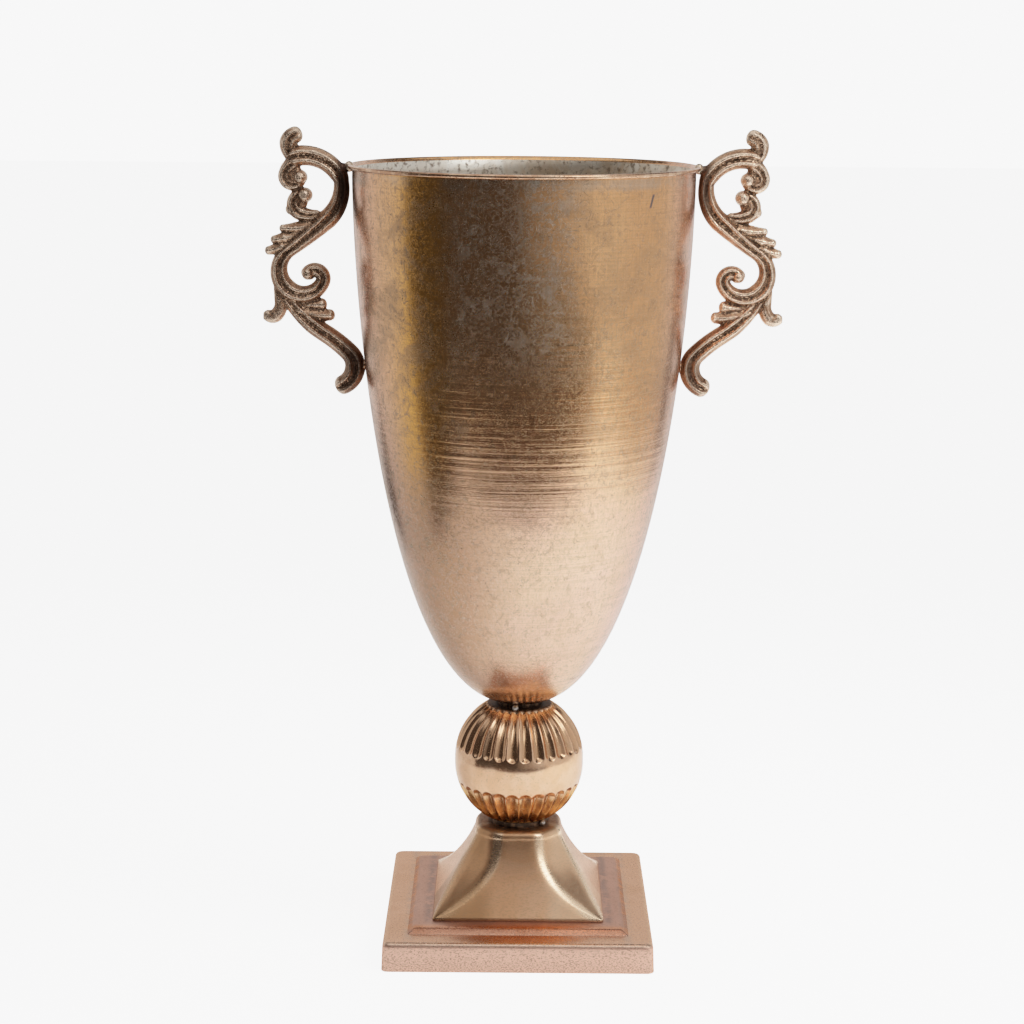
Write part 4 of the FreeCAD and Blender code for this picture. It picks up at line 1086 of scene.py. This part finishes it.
first_curl = lines["main_scroll"][:FIRST_CURL]
crown = first_curl[np.argmin(np.abs(first_curl[:, 1] - MOUTH))]
knee = lines["lower_stem"][np.argmin(lines["lower_stem"][:, 0])]
knee_wall = float(cup_radius_at(knee[1], CUP_RADIUS, CUP_CURVE))
grids.append(lug(RIM_EDGE - LUG_IN_RIM, crown[0], crown[1]))
grids.append(lug(knee_wall + LUG_OFF_WALL, knee[0], knee[1]))
print("lugs reach in mm:", round(crown[0] - RIM_EDGE, 1), round(knee[0] - knee_wall, 1))

# %% Eyes and webs
EYES = {"main_scroll": 0.025, "middle_scroll": 0.029, "upper_scroll": 0.028}
EYE_SHAPE = np.array([0.98, 1.3, 0.98])
WEBS = [
    # across, up, and half its width, height and depth
    (0.2057, -0.0408, 0.028, 0.036, 0.02), (0.182, -0.132, 0.032, 0.03, 0.02),
    (0.196, -0.012, 0.022, 0.024, 0.018), (0.205, -0.158, 0.03, 0.024, 0.02),
]
WAVES, WAVE_LENGTH = 6, 1.6


def soft_noise(points, seed):
    """Smooth unevenness: the sum of six sine waves in scattered directions and of
    six more that are half as long and half as high, divided by six."""
    scatter = np.random.default_rng(seed)
    total = 0
    for octave in range(2):
        for _ in range(WAVES):
            direction = scatter.normal(size=3)
            direction *= 2 * np.pi * 2 ** octave / (WAVE_LENGTH * np.linalg.norm(direction))
            total = total + np.sin(points @ direction + scatter.uniform(0, 2 * np.pi)) / 2 ** octave
    return total / WAVES


def lump(centre, radii, seed, rough):
    """A rounded drop: an ellipsoid whose radius is uneven by the share rough. Its
    rows end at 0.96 of the way to the poles, in small flat caps."""
    last = math.pi / 2 * 0.96
    latitude = np.linspace(-last, last, 14)[:, None]
    longitude = full_circle(20)
    level, rise = np.cos(latitude), np.sin(latitude) + 0 * longitude
    way = np.stack([level * np.cos(longitude), level * np.sin(longitude), rise], axis=-1)
    uneven = 1 + rough * soft_noise(way, seed)
    return np.array(centre) + way * np.array(radii) * uneven[..., None]


for name, share in EYES.items():
    eye = lines[name][-1 - END_STATIONS]
    grids.append(lump((eye[0], 0, eye[1]), EYE_SHAPE * share * HANDLE, 4, 0.02))
for across, up_share, wide, tall, deep_share in WEBS:
    web_centre = (RIM_EDGE + across * HANDLE, 0, MOUTH + up_share * HANDLE)
    grids.append(lump(web_centre, np.array([wide, deep_share, tall]) * HANDLE, 6, 0.04))
print("skins in a handle:", len(grids))

# %% [markdown]
# ## Handles: melted into one skin
# In the mould the metal runs together, so no limb lies on another with a sharp
# seam. Boolean unions would keep the seams. The Remesh modifier rebuilds all the
# skins from small cubes as one closed surface, and one round of smoothing takes
# the cubes' steps away.

# %% Handle's skin
VOXEL = 0.5


def joined(name, grids):
    """One mesh of several closed skins."""
    work = bmesh.new()
    for number, grid in enumerate(grids):
        part = skin("%s_%d" % (name, number), grid * MM)
        work.from_mesh(part)
        bpy.data.meshes.remove(part)
    mesh = bpy.data.meshes.new(name)
    work.to_mesh(mesh)
    work.free()
    return mesh


def melted(mesh, voxel, rounds):
    """The skins run together: remeshed in small cubes, then smoothed."""
    thing = placed("melt", mesh)
    remesh = thing.modifiers.new("remesh", "REMESH")
    remesh.mode = "VOXEL"
    remesh.voxel_size = voxel * MM
    remesh.use_smooth_shade = True
    smooth = thing.modifiers.new("smooth", "SMOOTH")
    smooth.factor = 0.5
    smooth.iterations = rounds
    graph = bpy.context.evaluated_depsgraph_get()
    result = bpy.data.meshes.new_from_object(thing.evaluated_get(graph))
    bpy.data.objects.remove(thing)
    return result


handle_mesh = melted(joined("handle", grids), VOXEL, 1)
print("handle faces after melting:", len(handle_mesh.polygons))

# %% [markdown]
# ## Handles: what stands out
# A polishing cloth rubs what stands out. To know it, the surface is calmed by
# moving each vertex to the mean of its neighbours many times: where the real
# surface lies outside the calm one it stands out. The Geometry node's pointiness
# does much the same, but only one of Blender's renderers knows it.

# %% Handles
CALM_ROUNDS, PROUD_MIDDLE, PROUD_STEP = 14, 0.45, 0.4


def standing_out(mesh, rounds):
    """How far each vertex stands out of the calmed surface, along its normal."""
    spots = read(mesh.vertices, "co")
    pairs = np.empty(len(mesh.edges) * 2, dtype=np.int32)
    mesh.edges.foreach_get("vertices", pairs)
    first, second = pairs.reshape(-1, 2).T
    count = np.bincount(first, minlength=len(spots)) + np.bincount(second, minlength=len(spots))
    calm = spots.copy()
    for _ in range(rounds):
        from_second = [np.bincount(first, calm[second, axis], len(spots)) for axis in range(3)]
        from_first = [np.bincount(second, calm[first, axis], len(spots)) for axis in range(3)]
        calm = (np.array(from_second) + np.array(from_first)).T / count[:, None]
    return np.einsum("ij,ij->i", spots - calm, read(mesh.vertex_normals, "vector"))


stand = standing_out(handle_mesh, CALM_ROUNDS) / MM
give(handle_mesh, "proud", np.clip(PROUD_MIDDLE + stand / PROUD_STEP, 0, 1))
# The melted skin may swell a little past its solid, so it is cut back to its box
low_corner, high_corner = [np.array(corner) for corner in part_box("handle_right")]
kept = np.clip(read(handle_mesh.vertices, "co"), low_corner, high_corner)
handle_mesh.vertices.foreach_set("co", kept.astype(np.float32).ravel())
handle_mesh.update()
mirrored = handle_mesh.copy()
mirrored.transform(Matrix.Scale(-1, 4, (1, 0, 0)))
mirrored.flip_normals()
piece("handle_right_skin", handle_mesh, "handle_metal", "handle_right", handle_metal)
piece("handle_left_skin", mirrored, "handle_metal", "handle_left", handle_metal)
print("stands out by mm, low, middle, high:", [round(float(x), 3) for x in np.percentile(stand, (5, 50, 95))])

# %% [markdown]
# ## Braze and solder
# The lugs are brazed to the rim and to the cup's side, and a drop of solder sits
# in each neck. These are small rough drops, brighter than the metal round them.
# Each fills the box of its solid, so it stays where the joint is.

# %% Braze and solder metal


def mottled(name, grain, first, second, gloss, dulling, depth, full=0.65):
    """A plain finish: one noise, its values in grain, blends two colours, dulls
    the gloss and gives a relief of a depth in metres."""
    finish = Finish(name)
    spots = finish.noise(*grain).ramp(0.4, full)
    finish.wear(finish.mix(spots, first, second), gloss + spots * dulling, (spots, depth))
    return finish


braze = mottled("braze", (500.0, 3, 0.6), (0.56, 0.38, 0.25), (0.90, 0.74, 0.58), 0.22, 0.12, 0.00012)
solder = mottled("solder", (600.0, 3, 0.6), (0.28, 0.24, 0.21), (0.66, 0.62, 0.58), 0.34, 0.16, 0.0001)

# %% Braze and solder
DROP_FILLS, DROP_ROUGH = 0.98, 0.05


def drop(name, node, slot, finish, seed):
    """A rounded drop inside the box of a solid of the frame."""
    low, high = [np.array(corner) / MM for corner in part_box(node)]
    mesh = skin(name, lump((low + high) / 2, (high - low) / 2 * DROP_FILLS, seed, DROP_ROUGH) * MM)
    piece(name, mesh, slot, node, finish)


for seed, side in enumerate(("left", "right")):
    drop("upper_bead_" + side, "upper_braze_" + side, "braze_metal", braze, 10 + seed)
    drop("lower_bead_" + side, "lower_braze_" + side, "braze_metal", braze, 20 + seed)
for seed, neck_name in enumerate(("upper", "lower")):
    drop("solder_" + neck_name, "neck_tack_" + neck_name, "solder_metal", solder, 30 + seed)

# %% [markdown]
# ## Necks and fixings
# The boss and the collar sit in the two dark necks, and the rod, plate, washers
# and nut are under the plinth. Their solids are right as they are, so they only
# get a finish: brass black with old polish, kept nearly black as painted shade of
# the dark necks, and plain zinc-plated steel.

# %% Necks and fixings
# The nearly black colour is painted shade of the dark necks
NECK_SHADE, BLACKENED = (0.05, 0.032, 0.022), (0.22, 0.13, 0.08)
ZINC, ZINC_SPANGLE = (0.50, 0.51, 0.53), (0.68, 0.68, 0.67)

neck = mottled("neck_metal", (300.0, 4, 0.6), NECK_SHADE, BLACKENED, 0.45, 0.15, 0.0001)
steel = mottled("zinc_steel", (260.0, 3, 0.6, 1.0), ZINC, ZINC_SPANGLE, 0.3, 0.12, 0.00003, 0.62)


def dress(nodes, finish):
    """A finish in the slots of solids that keep their shape."""
    for name in nodes:
        for slot in bpy.data.objects[name].material_slots:
            slot.material = finish.material
    print("dressed with", finish.material.name, ":", len(nodes))


dress(["cup_boss", "lower_collar"], neck)
dress(["tie_rod", "clamp_plate", "flat_washer", "spring_washer", "hex_nut"], steel)

# %% [markdown]
# ## Sizes
# The dressed urn has to be as large as the measured one. Here the scene is only
# brought up to date.

# %% Sizes
bpy.context.view_layer.update()
